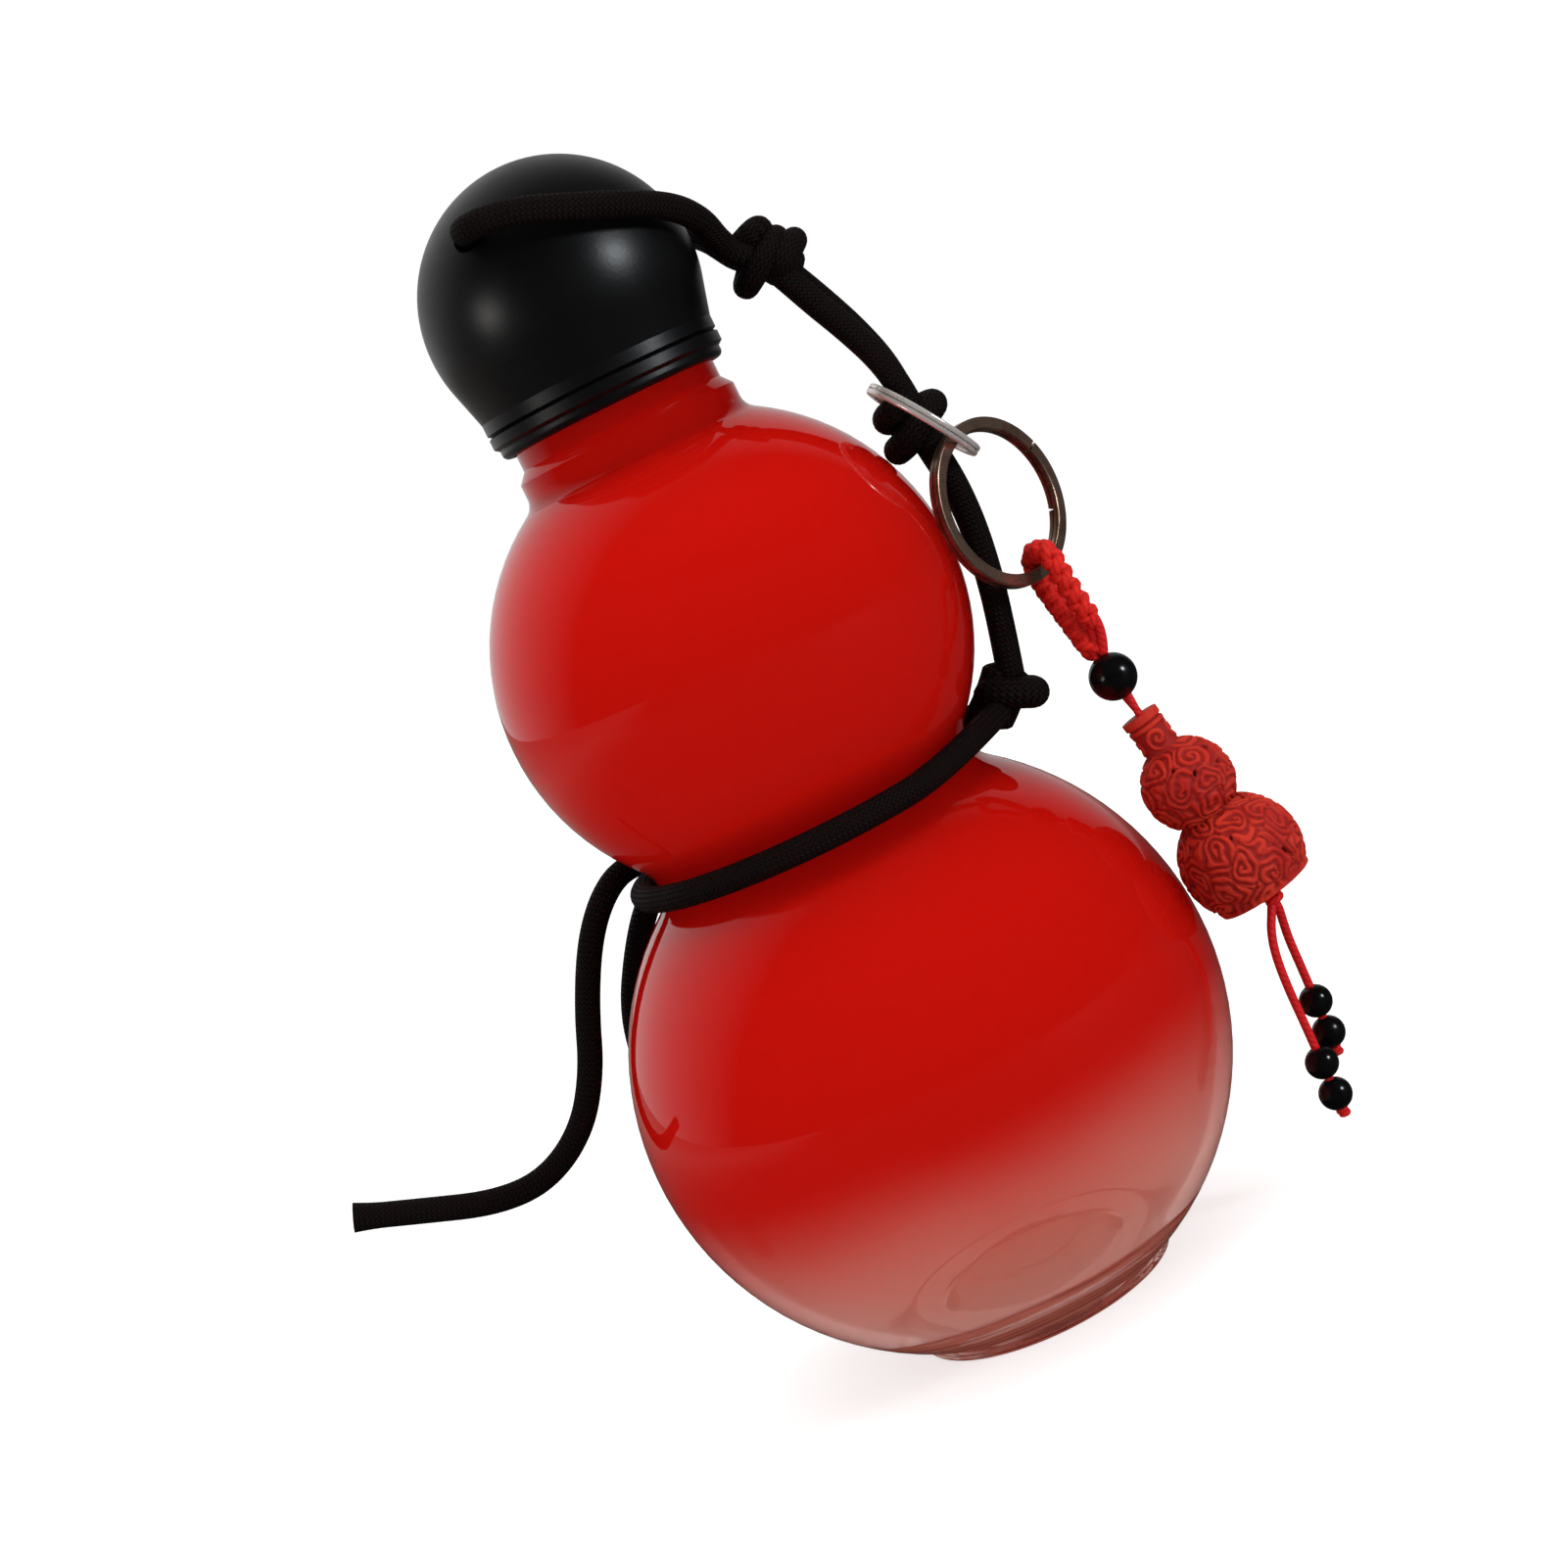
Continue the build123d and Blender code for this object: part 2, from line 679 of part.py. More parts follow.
print("waist fillet", round(waist_fillet, 2), "large ring centre", large_ring_centre, "link", link_point)
print("charm end", charm_end, "loop seat", loop_seat, "large ring normal", large_ring_normal)

for node in (
    bottle_shell,
    cap_ball,
    cap_liner,
    cap_gasket,
    cap_cord,
    knot_top,
    strap_upper_front,
    strap_upper_rear,
    knot_ring,
    strap_lower_front,
    strap_lower_rear,
    knot_side,
    waist_cord_front,
    waist_cord_rear,
    knot_back,
    tail_long,
    tail_short,
    ring_small,
    ring_large,
    pendant_loop,
    pendant_cord,
    round_bead,
    gourd_charm,
    charm_knot,
    *left_tassel,
    *right_tassel,
):
    write(node)
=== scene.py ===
import math
import random

import bmesh
import bpy
from mathutils import Matrix, Vector, noise


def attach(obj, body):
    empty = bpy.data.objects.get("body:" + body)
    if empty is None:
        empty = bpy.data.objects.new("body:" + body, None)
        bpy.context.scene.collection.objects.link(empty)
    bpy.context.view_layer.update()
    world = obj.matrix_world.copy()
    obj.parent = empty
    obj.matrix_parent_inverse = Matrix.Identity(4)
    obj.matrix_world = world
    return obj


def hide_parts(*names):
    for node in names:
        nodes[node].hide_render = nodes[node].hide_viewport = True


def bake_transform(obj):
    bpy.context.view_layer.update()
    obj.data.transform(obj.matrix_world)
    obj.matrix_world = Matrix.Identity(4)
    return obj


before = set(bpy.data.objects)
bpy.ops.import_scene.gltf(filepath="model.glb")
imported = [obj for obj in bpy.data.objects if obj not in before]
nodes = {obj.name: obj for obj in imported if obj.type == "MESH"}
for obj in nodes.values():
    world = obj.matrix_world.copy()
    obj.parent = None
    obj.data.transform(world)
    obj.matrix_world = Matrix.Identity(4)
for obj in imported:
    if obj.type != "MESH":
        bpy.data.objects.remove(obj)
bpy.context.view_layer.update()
mm = 0.001


# A socket that takes sums, and a builder that adds nodes
class Wire:
    def __init__(self, paint, socket):
        self.paint = paint
        self.socket = socket

    def maths(self, operation, *values):
        return self.paint.node("ShaderNodeMath", {"operation": operation}, dict(enumerate(values)))

    def __add__(self, other):
        return self.maths("ADD", self, other)

    def __radd__(self, other):
        return self.maths("ADD", other, self)

    def __sub__(self, other):
        return self.maths("SUBTRACT", self, other)

    def __rsub__(self, other):
        return self.maths("SUBTRACT", other, self)

    def __mul__(self, other):
        return self.maths("MULTIPLY", self, other)

    def __rmul__(self, other):
        return self.maths("MULTIPLY", other, self)

    def __truediv__(self, other):
        return self.maths("DIVIDE", self, other)

    def __pow__(self, other):
        return self.maths("POWER", self, other)

    def __lt__(self, other):
        return self.maths("LESS_THAN", self, other)

    def __gt__(self, other):
        return self.maths("GREATER_THAN", self, other)

    def sine(self):
        return self.maths("SINE", self)

    def fraction(self):
        return self.maths("FRACT", self)

    def floor(self):
        return self.maths("FLOOR", self)

    def most(self, other):
        return self.maths("MAXIMUM", self, other)

    def fade(self, start, end, low=0.0, high=1.0):  # smooth step between two values
        return self.paint.node(
            "ShaderNodeMapRange",
            {"interpolation_type": "SMOOTHSTEP"},
            {"Value": self, "From Min": start, "From Max": end, "To Min": low, "To Max": high},
        )

    def spread(self, low=0.0, high=1.0):  # noise keeps to about 0.3 to 0.7
        return self.fade(0.3, 0.7, low, high)


class Paint:
    def __init__(self, name):
        self.material = bpy.data.materials.new(name)
        self.material.use_nodes = True
        self.tree = self.material.node_tree
        self.tree.nodes.clear()
        self.output = self.tree.nodes.new("ShaderNodeOutputMaterial")

    def node(self, kind, settings=None, values=None, out=0):
        made = self.tree.nodes.new(kind)
        for name, value in (settings or {}).items():
            setattr(made, name, value)
        for name, value in (values or {}).items():
            if isinstance(value, Wire):
                self.tree.links.new(value.socket, made.inputs[name])
            else:
                made.inputs[name].default_value = value
        return Wire(self, made.outputs[out])

    def place(self, output="Object"):
        return self.node("ShaderNodeTexCoord", out=output)

    def axes(self, vector):
        split = self.node("ShaderNodeSeparateXYZ", values={0: vector})
        parts = split.socket.node.outputs
        return [Wire(self, parts[i]) for i in range(3)]

    def noise(self, vector, scale, detail=2.0, rough=0.5):
        values = {"Vector": vector, "Scale": scale, "Detail": detail, "Roughness": rough}
        return self.node("ShaderNodeTexNoise", values=values)

    def blend(self, factor, first, second):  # colours, so never through a Math node
        values = {0: factor, 6: (*first, 1) if isinstance(first, tuple) else first}
        values[7] = (*second, 1) if isinstance(second, tuple) else second
        return self.node("ShaderNodeMix", {"data_type": "RGBA"}, values, out=2)

    def bump(self, height, depth, strength=1.0):
        return self.node(
            "ShaderNodeBump", values={"Height": height, "Distance": depth, "Strength": strength}
        )

    def surface(self, **values):  # the Principled shader, sockets named with _ for spaces
        named = {name.replace("_", " "): value for name, value in values.items()}
        return self.node("ShaderNodeBsdfPrincipled", values=named)

    def mix(self, factor, first, second):
        return self.node("ShaderNodeMixShader", values={0: factor, 1: first, 2: second})

    def done(self, shader):
        self.tree.links.new(shader.socket, self.output.inputs[0])
        return self.material


def shared(first, second, shares):  # two patterns, each with its own share
    return first * shares[0] + second * shares[1]


def dress(name, material):  # a CAD node keeps its shape and gets a new finish
    holder = nodes[name]
    for slot in holder.material_slots:
        slot.material = material
    if not holder.material_slots:
        holder.data.materials.append(material)


def newPiece(name, mesh, material, body, slot, *stands):
    piece = bpy.data.objects.new(name, mesh)
    bpy.context.collection.objects.link(piece)
    mesh.materials.append(material)
    for face in mesh.polygons:
        face.use_smooth = True
    if stands:
        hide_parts(*stands)
    if body:
        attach(piece, body)
    return piece


# The photograph's viewing angle
cameraSet = {
    "spot": (-2.24, -450.0, 150.6),
    "pitch": 6.7,
    "roll": 26.2,
    "lens": 62.8,
    "sensor": 36,
    "nearest": 0.01,  # in metres, as Blender wants it
}


def addCamera():
    pitch = math.radians(cameraSet["pitch"])
    roll = math.radians(cameraSet["roll"])
    level = Vector((1, 0, 0))
    rise = Vector((0, math.sin(pitch), math.cos(pitch)))
    ahead = Vector((0, math.cos(pitch), -math.sin(pitch)))
    right = level * math.cos(roll) - rise * math.sin(roll)
    up = level * math.sin(roll) + rise * math.cos(roll)
    turn = Matrix((right, up, -ahead)).transposed().to_4x4()
    bpy.ops.object.camera_add()
    camera = bpy.context.object
    camera.matrix_world = Matrix.Translation(Vector(cameraSet["spot"]) * mm) @ turn
    camera.data.lens = cameraSet["lens"]
    camera.data.sensor_width = cameraSet["sensor"]
    camera.data.clip_start = cameraSet["nearest"]
    bpy.context.scene.camera = camera


addCamera()
print("camera placed")


# Lines of the cords, and tubes along them
lineSet = {
    "resolution": 20,
    "order": 3,
    "slack": 1e-9,
    "uvPerMetre": 100,  # so UV maps run in turns one way and centimetres the other
}


def lineOf(route):  # evaluated points of the smooth line that a route controls
    curve = bpy.data.curves.new("line", "CURVE")
    curve.dimensions = "3D"
    curve.resolution_u = lineSet["resolution"]
    spline = curve.splines.new("NURBS")
    spline.points.add(len(route) - 1)
    for control, spot in zip(spline.points, route):
        control.co = (*(Vector(spot) * mm), 1)
    spline.order_u = lineSet["order"]
    spline.use_endpoint_u = True
    holder = bpy.data.objects.new("line", curve)
    bpy.context.collection.objects.link(holder)
    mesh = bpy.data.meshes.new_from_object(holder)
    line = [vertex.co.copy() for vertex in mesh.vertices]
    bpy.data.objects.remove(holder)
    bpy.data.curves.remove(curve)
    bpy.data.meshes.remove(mesh)
    return line


def evenly(line, step):  # the same line in equal steps
    spots = [line[0].copy()]
    total = lengthOf(line)
    count = max(2, round(total / step))
    want = total / count
    walked = 0.0
    for before, after in zip(line, line[1:]):
        reach = (after - before).length
        while reach > 0 and walked + reach >= want * len(spots) - lineSet["slack"] and len(spots) < count:
            share = (want * len(spots) - walked) / reach
            spots.append(before.lerp(after, share))
        walked += reach
    spots.append(line[-1].copy())
    return spots


def lengthOf(line):
    return sum((b - a).length for a, b in zip(line, line[1:]))


def framesOf(line):  # point, way, side and third side at each point, without twist
    ways = []
    for i in range(len(line)):
        before = line[max(i - 1, 0)]
        after = line[min(i + 1, len(line) - 1)]
        ways.append((after - before).normalized())
    side = ways[0].orthogonal().normalized()
    framed = []
    for spot, way in zip(line, ways):
        side = (side - way * side.dot(way)).normalized()
        framed.append((spot, way, side, way.cross(side)))
    return framed


def steady(half):  # the same radius all along
    return lambda walked, total: half


def tubeMesh(name, line, radiusAt, sides):  # closed tube with a UV map
    mesh = bpy.data.meshes.new(name)
    framed = framesOf(line)
    spots = []
    walk = [0.0]
    for a, b in zip(line, line[1:]):
        walk.append(walk[-1] + (b - a).length)
    for i, (spot, way, side, third) in enumerate(framed):
        radius = radiusAt(walk[i], walk[-1])
        for j in range(sides):
            angle = math.tau * j / sides
            spots.append(spot + (side * math.cos(angle) + third * math.sin(angle)) * radius)
    faces = []
    for i in range(len(line) - 1):
        for j in range(sides):
            k = (j + 1) % sides
            faces.append((i * sides + j, i * sides + k, (i + 1) * sides + k, (i + 1) * sides + j))
    last = (len(line) - 1) * sides
    spots += [line[0], line[-1]]
    for j in range(sides):
        k = (j + 1) % sides
        faces.append((len(spots) - 2, k, j))
        faces.append((len(spots) - 1, last + j, last + k))
    mesh.from_pydata([tuple(s) for s in spots], [], faces)
    turns = mesh.uv_layers.new(name="along")
    for face in mesh.polygons:
        for loop, vertex in zip(face.loop_indices, face.vertices):
            i, j = divmod(vertex, sides)
            if i >= len(line):  # the middle of an end
                turns.data[loop].uv = (0.5, 0.0)
                continue
            wrapped = j == 0 and any(v % sides == sides - 1 for v in face.vertices)
            turn = (sides if wrapped else j) / sides
            turns.data[loop].uv = (turn, walk[i] * lineSet["uvPerMetre"])
    return mesh


def joined(name, meshes):  # several strands in one mesh
    merged = bmesh.new()
    for mesh in meshes:
        merged.from_mesh(mesh)
        bpy.data.meshes.remove(mesh)
    whole = bpy.data.meshes.new(name)
    merged.to_mesh(whole)
    merged.free()
    return whole


# Black braided cord
cordSet = {
    "width": 4.4,
    "strands": 16,
    "sides": 20,
    "step": 0.9,
    # painted shade: the grooves between the strands get this darker colour, the ridges the next one
    "shadedGroove": (0.002, 0.001, 0.0009),
    "ridge": (0.0085, 0.0038, 0.0034),
    "wornScale": 90.0,
    "fibreScale": 2600.0,
    # the braid's share is painted shade in its grooves, the other is random wear
    "toneShares": (0.6, 0.4),  # of the braid and of the wear
    "reliefShares": (0.85, 0.15),  # of the braid and of its fibres
    "relief": 0.00035,
    "rough": (0.62, 0.8),
    "cutLength": 5,  # a cut end swells over this length
    "cutSwell": 0.16,
    "cutCurve": 1.5,
}


def braidPaint():
    paint = Paint("blackBraid")
    u, v, _ = paint.axes(paint.place("UV"))
    pace = lineSet["uvPerMetre"] * math.pi * cordSet["width"] * mm / cordSet["strands"]
    first = u * cordSet["strands"] + v / pace
    second = u * cordSet["strands"] - v / pace
    over = ((first.floor() + second.floor()) * 0.5).fraction() * 2  # 1 where the first strand is on top
    firstRidge = (first.fraction() * math.pi).sine() * over
    ridge = firstRidge + (second.fraction() * math.pi).sine() * (1 - over)
    fibre = paint.noise(paint.place(), cordSet["fibreScale"], 3.0)
    worn = paint.noise(paint.place(), cordSet["wornScale"], 3.0)
    # painted shade in the braid's grooves, mixed with random wear
    tone = paint.blend(shared(ridge, worn, cordSet["toneShares"]), cordSet["shadedGroove"], cordSet["ridge"])
    height = shared(ridge, fibre, cordSet["reliefShares"])
    shine = paint.surface(
        Base_Color=tone,
        Roughness=worn.spread(*cordSet["rough"]),
        Specular_IOR_Level=0.1,
        Normal=paint.bump(height, cordSet["relief"], 0.9),
    )
    return paint.done(shine)


blackBraid = braidPaint()

routes = {
    "capCord": [
        (32.6, -1.9, 175.6),
        (28.95, -2.8, 177.84),
        (26.9, -3.1, 181.4),
        (25.6, -7.6, 185.8),
        (21.6, -14.6, 189.3),
        (14.5, -21.2, 192.1),
        (6.9, -23.8, 195.0),
        (-0.2, -24.3, 197.8),
        (-6.3, -22.9, 198.9),
        (-8.8, -20.3, 199.0),
        (-9.2, -16.95, 199.0),
        (9.2, 16.95, 199.0),
        (12.2, 18.8, 198.2),
        (15.6, 18.4, 195.0),
        (19.8, 16.4, 190.0),
        (23.7, 11.3, 186.1),
        (25.9, 6.2, 183.6),
        (27.1, 2.0, 181.0),
        (28.95, 1.8, 177.84),
        (32.4, 1.0, 175.6),
    ],
    "strapFront": [
        (32.3, -2.0, 175.6),
        (33.9, -2.8, 172.2),
        (36.5, -2.8, 166.2),
        (39.5, -2.8, 160.0),
        (42.2, -3.2, 153.2),
        (43.3, -3.5, 146.6),
        (43.3, -3.1, 138.8),
        (44.5, -2.5, 131.4),
        (44.5, -2.2, 123.2),
        (43.3, -2.4, 114.4),
        (41.5, -2.4, 106.0),
        (39.3, -2.4, 97.4),
    ],
    "strapRear": [
        (33.6, 1.2, 175.8),
        (35.2, 1.8, 172.8),
        (38.3, 1.8, 166.2),
        (40.9, 1.7, 160.0),
        (43.0, 1.3, 153.2),
        (43.6, 1.1, 146.6),
        (43.3, 1.2, 138.8),
        (44.5, 1.9, 131.4),
        (44.7, 2.3, 123.2),
        (43.6, 2.3, 114.4),
        (41.9, 2.3, 106.0),
        (39.6, 2.3, 97.4),
    ],
    "waistFront": [
        (34.6, -3.6, 93.2),
        (21.2, -24.1, 91.2),
        (6.4, -31.5, 91.1),
        (-10.2, -30.6, 91.1),
        (-24.1, -21.3, 91.2),
        (-31.6, -6.4, 91.4),
        (-31.0, 9.4, 91.5),
        (-26.8, 19.0, 91.6),
    ],
    "waistRear": [
        (34.6, 3.6, 93.2),
        (21.2, 24.1, 91.4),
        (6.4, 31.5, 91.4),
        (-10.2, 31.0, 91.6),
        (-21.2, 26.8, 91.6),
    ],
    "tailLong": [
        (-29.9, 21.9, 93.9),
        (-33.4, 17.8, 95.0),
        (-38.8, 14.0, 92.4),
        (-44.1, 12.0, 86.4),
        (-49.4, 10.4, 76.6),
        (-53.3, 9.4, 66.9),
        (-59.3, 8.6, 58.6),
        (-68.2, 7.8, 53.8),
        (-77.6, 7.0, 54.3),
        (-89.0, 6.1, 58.8),
        (-99.9, 5.4, 63.2),
    ],
    "tailShort": [
        (-29.9, 21.9, 89.2),
        (-32.9, 18.8, 87.0),
        (-36.4, 17.0, 82.9),
        (-39.8, 16.8, 77.8),
        (-42.4, 18.2, 73.2),
        (-44.5, 20.5, 67.6),
        (-45.9, 23.2, 60.2),
        (-47.0, 24.6, 51.2),
        (-46.8, 25.2, 41.0),
        (-46.3, 24.8, 30.6),
        (-46.6, 24.4, 18.6),
    ],
}


def addCord(name, key, length, far, lay, stands, pieces=(), swell=0.0, stiffness="medium", body="strap"):
    line = evenly(lineOf(routes[key]), cordSet["step"] * mm)
    half = cordSet["width"] * mm / 2

    def radiusAt(walked, total):  # a cut end is swollen by its cutting
        share = 1 - (total - walked) / (cordSet["cutLength"] * mm)
        return half * (1 + swell * max(0.0, share) ** cordSet["cutCurve"])

    mesh = tubeMesh(name, line, radiusAt, cordSet["sides"])
    piece = newPiece(name, mesh, blackBraid, body, "black_cord", *stands)
    return piece


# Knots: short cords that wind round a core, which stands for the strands inside
knotSet = {
    "width": 4.3,
    "step": 0.6,
    "sides": 20,
    "bulk": 3.3,
    "taper": 2.4,
    "lead": 0.4,  # the core's ends are as thick as it would be this far in
}


def addKnot(name, centre, along, side, coils, core, stand, grow=1.0):
    across = Vector(side).normalized()
    ahead = Vector(along).normalized()
    third = ahead.cross(across)
    half = knotSet["width"] * grow * mm / 2
    bulk = knotSet["bulk"] * grow * mm

    def swollen(walked, total):  # the strands bunch up inside the windings
        share = (min(walked, total - walked) / mm + knotSet["lead"]) / knotSet["taper"]
        return bulk * math.sin(min(1.0, share) * math.pi / 2)

    meshes = []
    for points, radiusAt in ((coils, steady(half)), (core, swollen)):
        route = [Vector(centre) + ahead * a + across * b + third * c for a, b, c in points]
        line = evenly(lineOf(route), knotSet["step"] * mm)
        meshes.append(tubeMesh(name, line, radiusAt, knotSet["sides"]))
    return newPiece(name, joined(name, meshes), blackBraid, "strap", "black_cord", stand)


# Each winding: how far along the strap, towards the back, and away from the bottle
topCoils = [
    (-5.0, 0.4, -1.4),
    (-4.8, -2.2, 0.4),
    (-4.2, -1.4, 2.9),
    (-3.5, 1.6, 2.9),
    (-2.6, 3.6, 0.0),
    (-1.4, 3.0, -3.8),
    (-0.5, 0.3, -6.4),
    (-0.5, -2.8, -4.6),
    (-0.6, -4.0, -0.6),
    (-0.9, -2.4, 2.6),
    (-1.0, 0.8, 3.6),
    (-0.2, 3.6, 1.4),
    (1.2, 3.6, -1.0),
    (2.4, 0.6, -1.4),
    (2.4, -2.6, -1.0),
    (1.9, -4.1, 0.8),
    (1.7, -3.0, 3.5),
    (1.7, -0.4, 4.9),
    (1.9, 2.6, 3.8),
    (2.6, 3.4, 0.6),
    (4.4, 1.2, 0.0),
]
topCore = [(-5.4, 0.0, 0.2), (-2.5, 0.0, 0.8), (0.6, 0.0, 1.0), (3.2, 0.0, 0.6), (5.4, 0.0, 0.0)]
ringCoils = [
    (-4.6, 0.2, 1.0),
    (-3.6, -2.6, 0.6),
    (-2.9, -3.2, -1.6),
    (-2.4, -0.4, -3.6),
    (-1.7, 2.6, -2.6),
    (-1.2, 3.8, 0.4),
    (-0.8, 2.4, 3.6),
    (-0.6, -0.4, 4.8),
    (0.0, -3.2, 2.8),
    (1.6, -4.0, -0.4),
    (2.7, -2.6, -3.6),
    (3.0, 0.4, -4.6),
    (2.9, 3.0, -2.8),
    (2.2, 3.6, 0.4),
    (2.8, 1.8, 1.8),
    (4.6, 0.0, 0.8),
]
ringCore = [(-5.0, 0.0, 0.0), (-2.0, 0.0, -0.2), (1.5, 0.0, -0.4), (5.0, 0.0, 0.0)]
sideCoils = [
    (-3.0, 0.4, -0.6),
    (-3.4, -2.2, 0.2),
    (-1.0, -3.8, 0.4),
    (2.0, -3.8, 0.5),
    (4.3, -2.0, 0.4),
    (4.3, 1.6, 0.4),
    (2.0, 3.4, 0.3),
    (-1.4, 3.4, 0.0),
    (-3.2, 1.2, -0.6),
    (-1.0, 0.0, -1.6),
]
sideCore = [(0.2, 0.0, 5.2), (-0.4, 0.0, 2.6), (-1.3, 0.0, -0.2), (-2.2, 0.0, -2.6), (-3.6, 0.0, -5.4)]
inward = (0, 1, 0)
upward = (0, 0, 1)
knotRows = (  # name, centre, way along, way across, coils, core, node and size
    ("knotTopWound", (33.3, -0.5, 175.9), (0.5, 0, -0.866), inward, topCoils, topCore, "knot_top"),
    ("knotRingWound", (42.6, -1.2, 142.2), (0.1, 0, -0.995), inward, ringCoils, ringCore, "knot_ring", 1.13),
    ("knotSideWound", (37.6, 0, 94.8), (0.897, 0, -0.44), inward, sideCoils, sideCore, "knot_side", 1.25),
    ("knotBackWound", (-25.4, 23.7, 91.6), (-0.682, -0.731, 0), upward, ringCoils, ringCore, "knot_back"),
)
knotTop, knotRing, knotSide, knotBack = [addKnot(*row) for row in knotRows]

capCord = addCord("capCordBraid", "capCord", 0.139, "object", "loose", ["cap_cord"], body=None)
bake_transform(capCord)
frontParts = ["strap_upper_front", "strap_lower_front"]
rearParts = ["strap_upper_rear", "strap_lower_rear"]
strapKnots = [knotTop, knotRing, knotSide]
addCord("strapFrontBraid", "strapFront", 0.0795, "knot", "hanging", frontParts, strapKnots)
addCord("strapRearBraid", "strapRear", 0.0785, "knot", "hanging", rearParts)
addCord("waistFrontBraid", "waistFront", 0.113, "knot", "taut", ["waist_cord_front"], [knotBack])
addCord("waistRearBraid", "waistRear", 0.067, "knot", "taut", ["waist_cord_rear"])
tailSet = {"swell": cordSet["cutSwell"], "stiffness": "stiff"}
addCord("tailLongBraid", "tailLong", 0.0945, "bare", "hanging", ["tail_long"], **tailSet)
addCord("tailShortBraid", "tailShort", 0.0775, "bare", "hanging", ["tail_short"], **tailSet)
print("black cords laid")


# Red glass bottle: clear glass with its colour on the inner wall
glassSet = {
    "coatTop": 0.046,  # full colour above this height
    "coatFoot": 0.004,  # only a haze of it below this one
    "haze": 0.56,
    "deepRed": (0.62, 0.0082, 0.0042),
    "palePink": (0.7, 0.24, 0.175),
    "paleHeights": (0.012, 0.044),  # the haze turns from pink to red between these
    "cloudScale": 22.0,
    "cloudRise": 0.008,  # how far the clouds move the colour up or down
    "wall": 0.0026,
    "bulbs": ((0.0469, 0.0504), (0.1217, 0.0398)),  # height and radius of each
    "throatRadius": 0.0148,  # the inner wall's, in the neck
    "throatFrom": 0.15,
    "waistRadius": 0.0271,  # the inner wall's, between the bulbs
    "waistFrom": 0.08,
    "waistTo": 0.1,
    "rings": 1500.0,  # fine rings round the thick base
    "ringWander": 9.0,
    "ringTone": (0.4, 0.07, 0.05),
    "ringHeights": (0.0095, 0.014),  # they fade out between these
    "ringStrength": 0.9,
    "tint": (1.0, 0.84, 0.8, 1),
    "shadowTint": (0.95, 0.9, 0.9, 1),
}


def glassPaint():
    paint = Paint("redGlass")
    spot = paint.place()
    x, y, z = paint.axes(spot)
    away = (x * x + y * y) ** 0.5
    inside = None
    for height, radius in glassSet["bulbs"]:
        rise = z - height
        reach = (away * away + rise * rise) ** 0.5
        shell = reach < radius - glassSet["wall"] / 2
        inside = shell if inside is None else inside.most(shell)
    throat = (away < glassSet["throatRadius"]) * (z > glassSet["throatFrom"])
    waist = (away < glassSet["waistRadius"]) * (z > glassSet["waistFrom"]) * (z < glassSet["waistTo"])
    inside = inside.most(throat).most(waist)  # 1 on the inner wall and 0 on the outer one
    cloud = paint.noise(spot, glassSet["cloudScale"], 3.0)
    level = z + (cloud - 0.5) * glassSet["cloudRise"]
    cover = level.fade(glassSet["coatFoot"], glassSet["coatTop"], glassSet["haze"], 1.0)
    tone = paint.blend(level.fade(*glassSet["paleHeights"]), glassSet["palePink"], glassSet["deepRed"])
    waves = (away * glassSet["rings"] + cloud * glassSet["ringWander"]).sine().fade(0.2, 1.0)
    swirl = waves * z.fade(*glassSet["ringHeights"], glassSet["ringStrength"], 0.0)
    tone = paint.blend(swirl, tone, glassSet["ringTone"])
    coat = paint.surface(Base_Color=tone, Roughness=0.5, Specular_IOR_Level=0.0)
    clear = paint.surface(
        Base_Color=glassSet["tint"],
        Roughness=0.02,
        IOR=1.45,
        Specular_IOR_Level=0.32,
        Transmission_Weight=1.0,
    )
    body = paint.mix(inside * cover, clear, coat)
    shadow = paint.node("ShaderNodeLightPath", out="Is Shadow Ray")
    through = paint.node("ShaderNodeBsdfTransparent", values={0: glassSet["shadowTint"]})
    lit = paint.mix(shadow * (1 - inside * cover), body, through)  # light passes where there is no colour
    return paint.done(lit)


dress("bottle_shell", glassPaint())
print("bottle dressed")


def smoothPaint(name, look):  # clouded colour and shine, over a fine grain
    paint = Paint(name)
    spot = paint.place()
    smear = paint.noise(spot, *look["smear"])
    patches = smear.fade(*look["patches"]) if "patches" in look else smear
    sockets = dict(look.get("sockets", {}))
    sockets["Base_Color"] = paint.blend(patches, *look["tones"])
    sockets["Roughness"] = smear.spread(*look["rough"])
    if "grain" in look:
        sockets["Normal"] = paint.bump(paint.noise(spot, *look["grain"]), *look["relief"])
    return paint.done(paint.surface(**sockets))


# In each: scale and detail of the smears and of the grain, and the grain's depth and strength
capSet = {
    "tones": ((0.0012, 0.0012, 0.0014), (0.0024, 0.0024, 0.0028)),
    "rough": (0.32, 0.4),
    "smear": (60.0, 4.0),
    "grain": (1400.0, 2.0),
    "relief": (0.00003, 0.5),
    "sockets": {"Specular_IOR_Level": 0.3},
}
linerSet = {
    "tones": ((0.6, 0.6, 0.58), (0.7, 0.7, 0.67)),
    "rough": (0.4, 0.5),
    "smear": (120.0, 3.0),
    "grain": (1800.0, 2.0),
    "relief": (0.00002, 0.4),
}
gasketSet = {
    "tones": ((0.62, 0.62, 0.6), (0.72, 0.72, 0.7)),
    "rough": (0.6, 0.7),
    "smear": (120.0, 3.0),
    "grain": (1800.0, 2.0),
    "relief": (0.00002, 0.4),
}
dress("cap_ball", smoothPaint("satinBlack", capSet))
dress("cap_liner", smoothPaint("linerPlastic", linerSet))
dress("cap_gasket", smoothPaint("gasketRubber", gasketSet))
print("cap dressed")

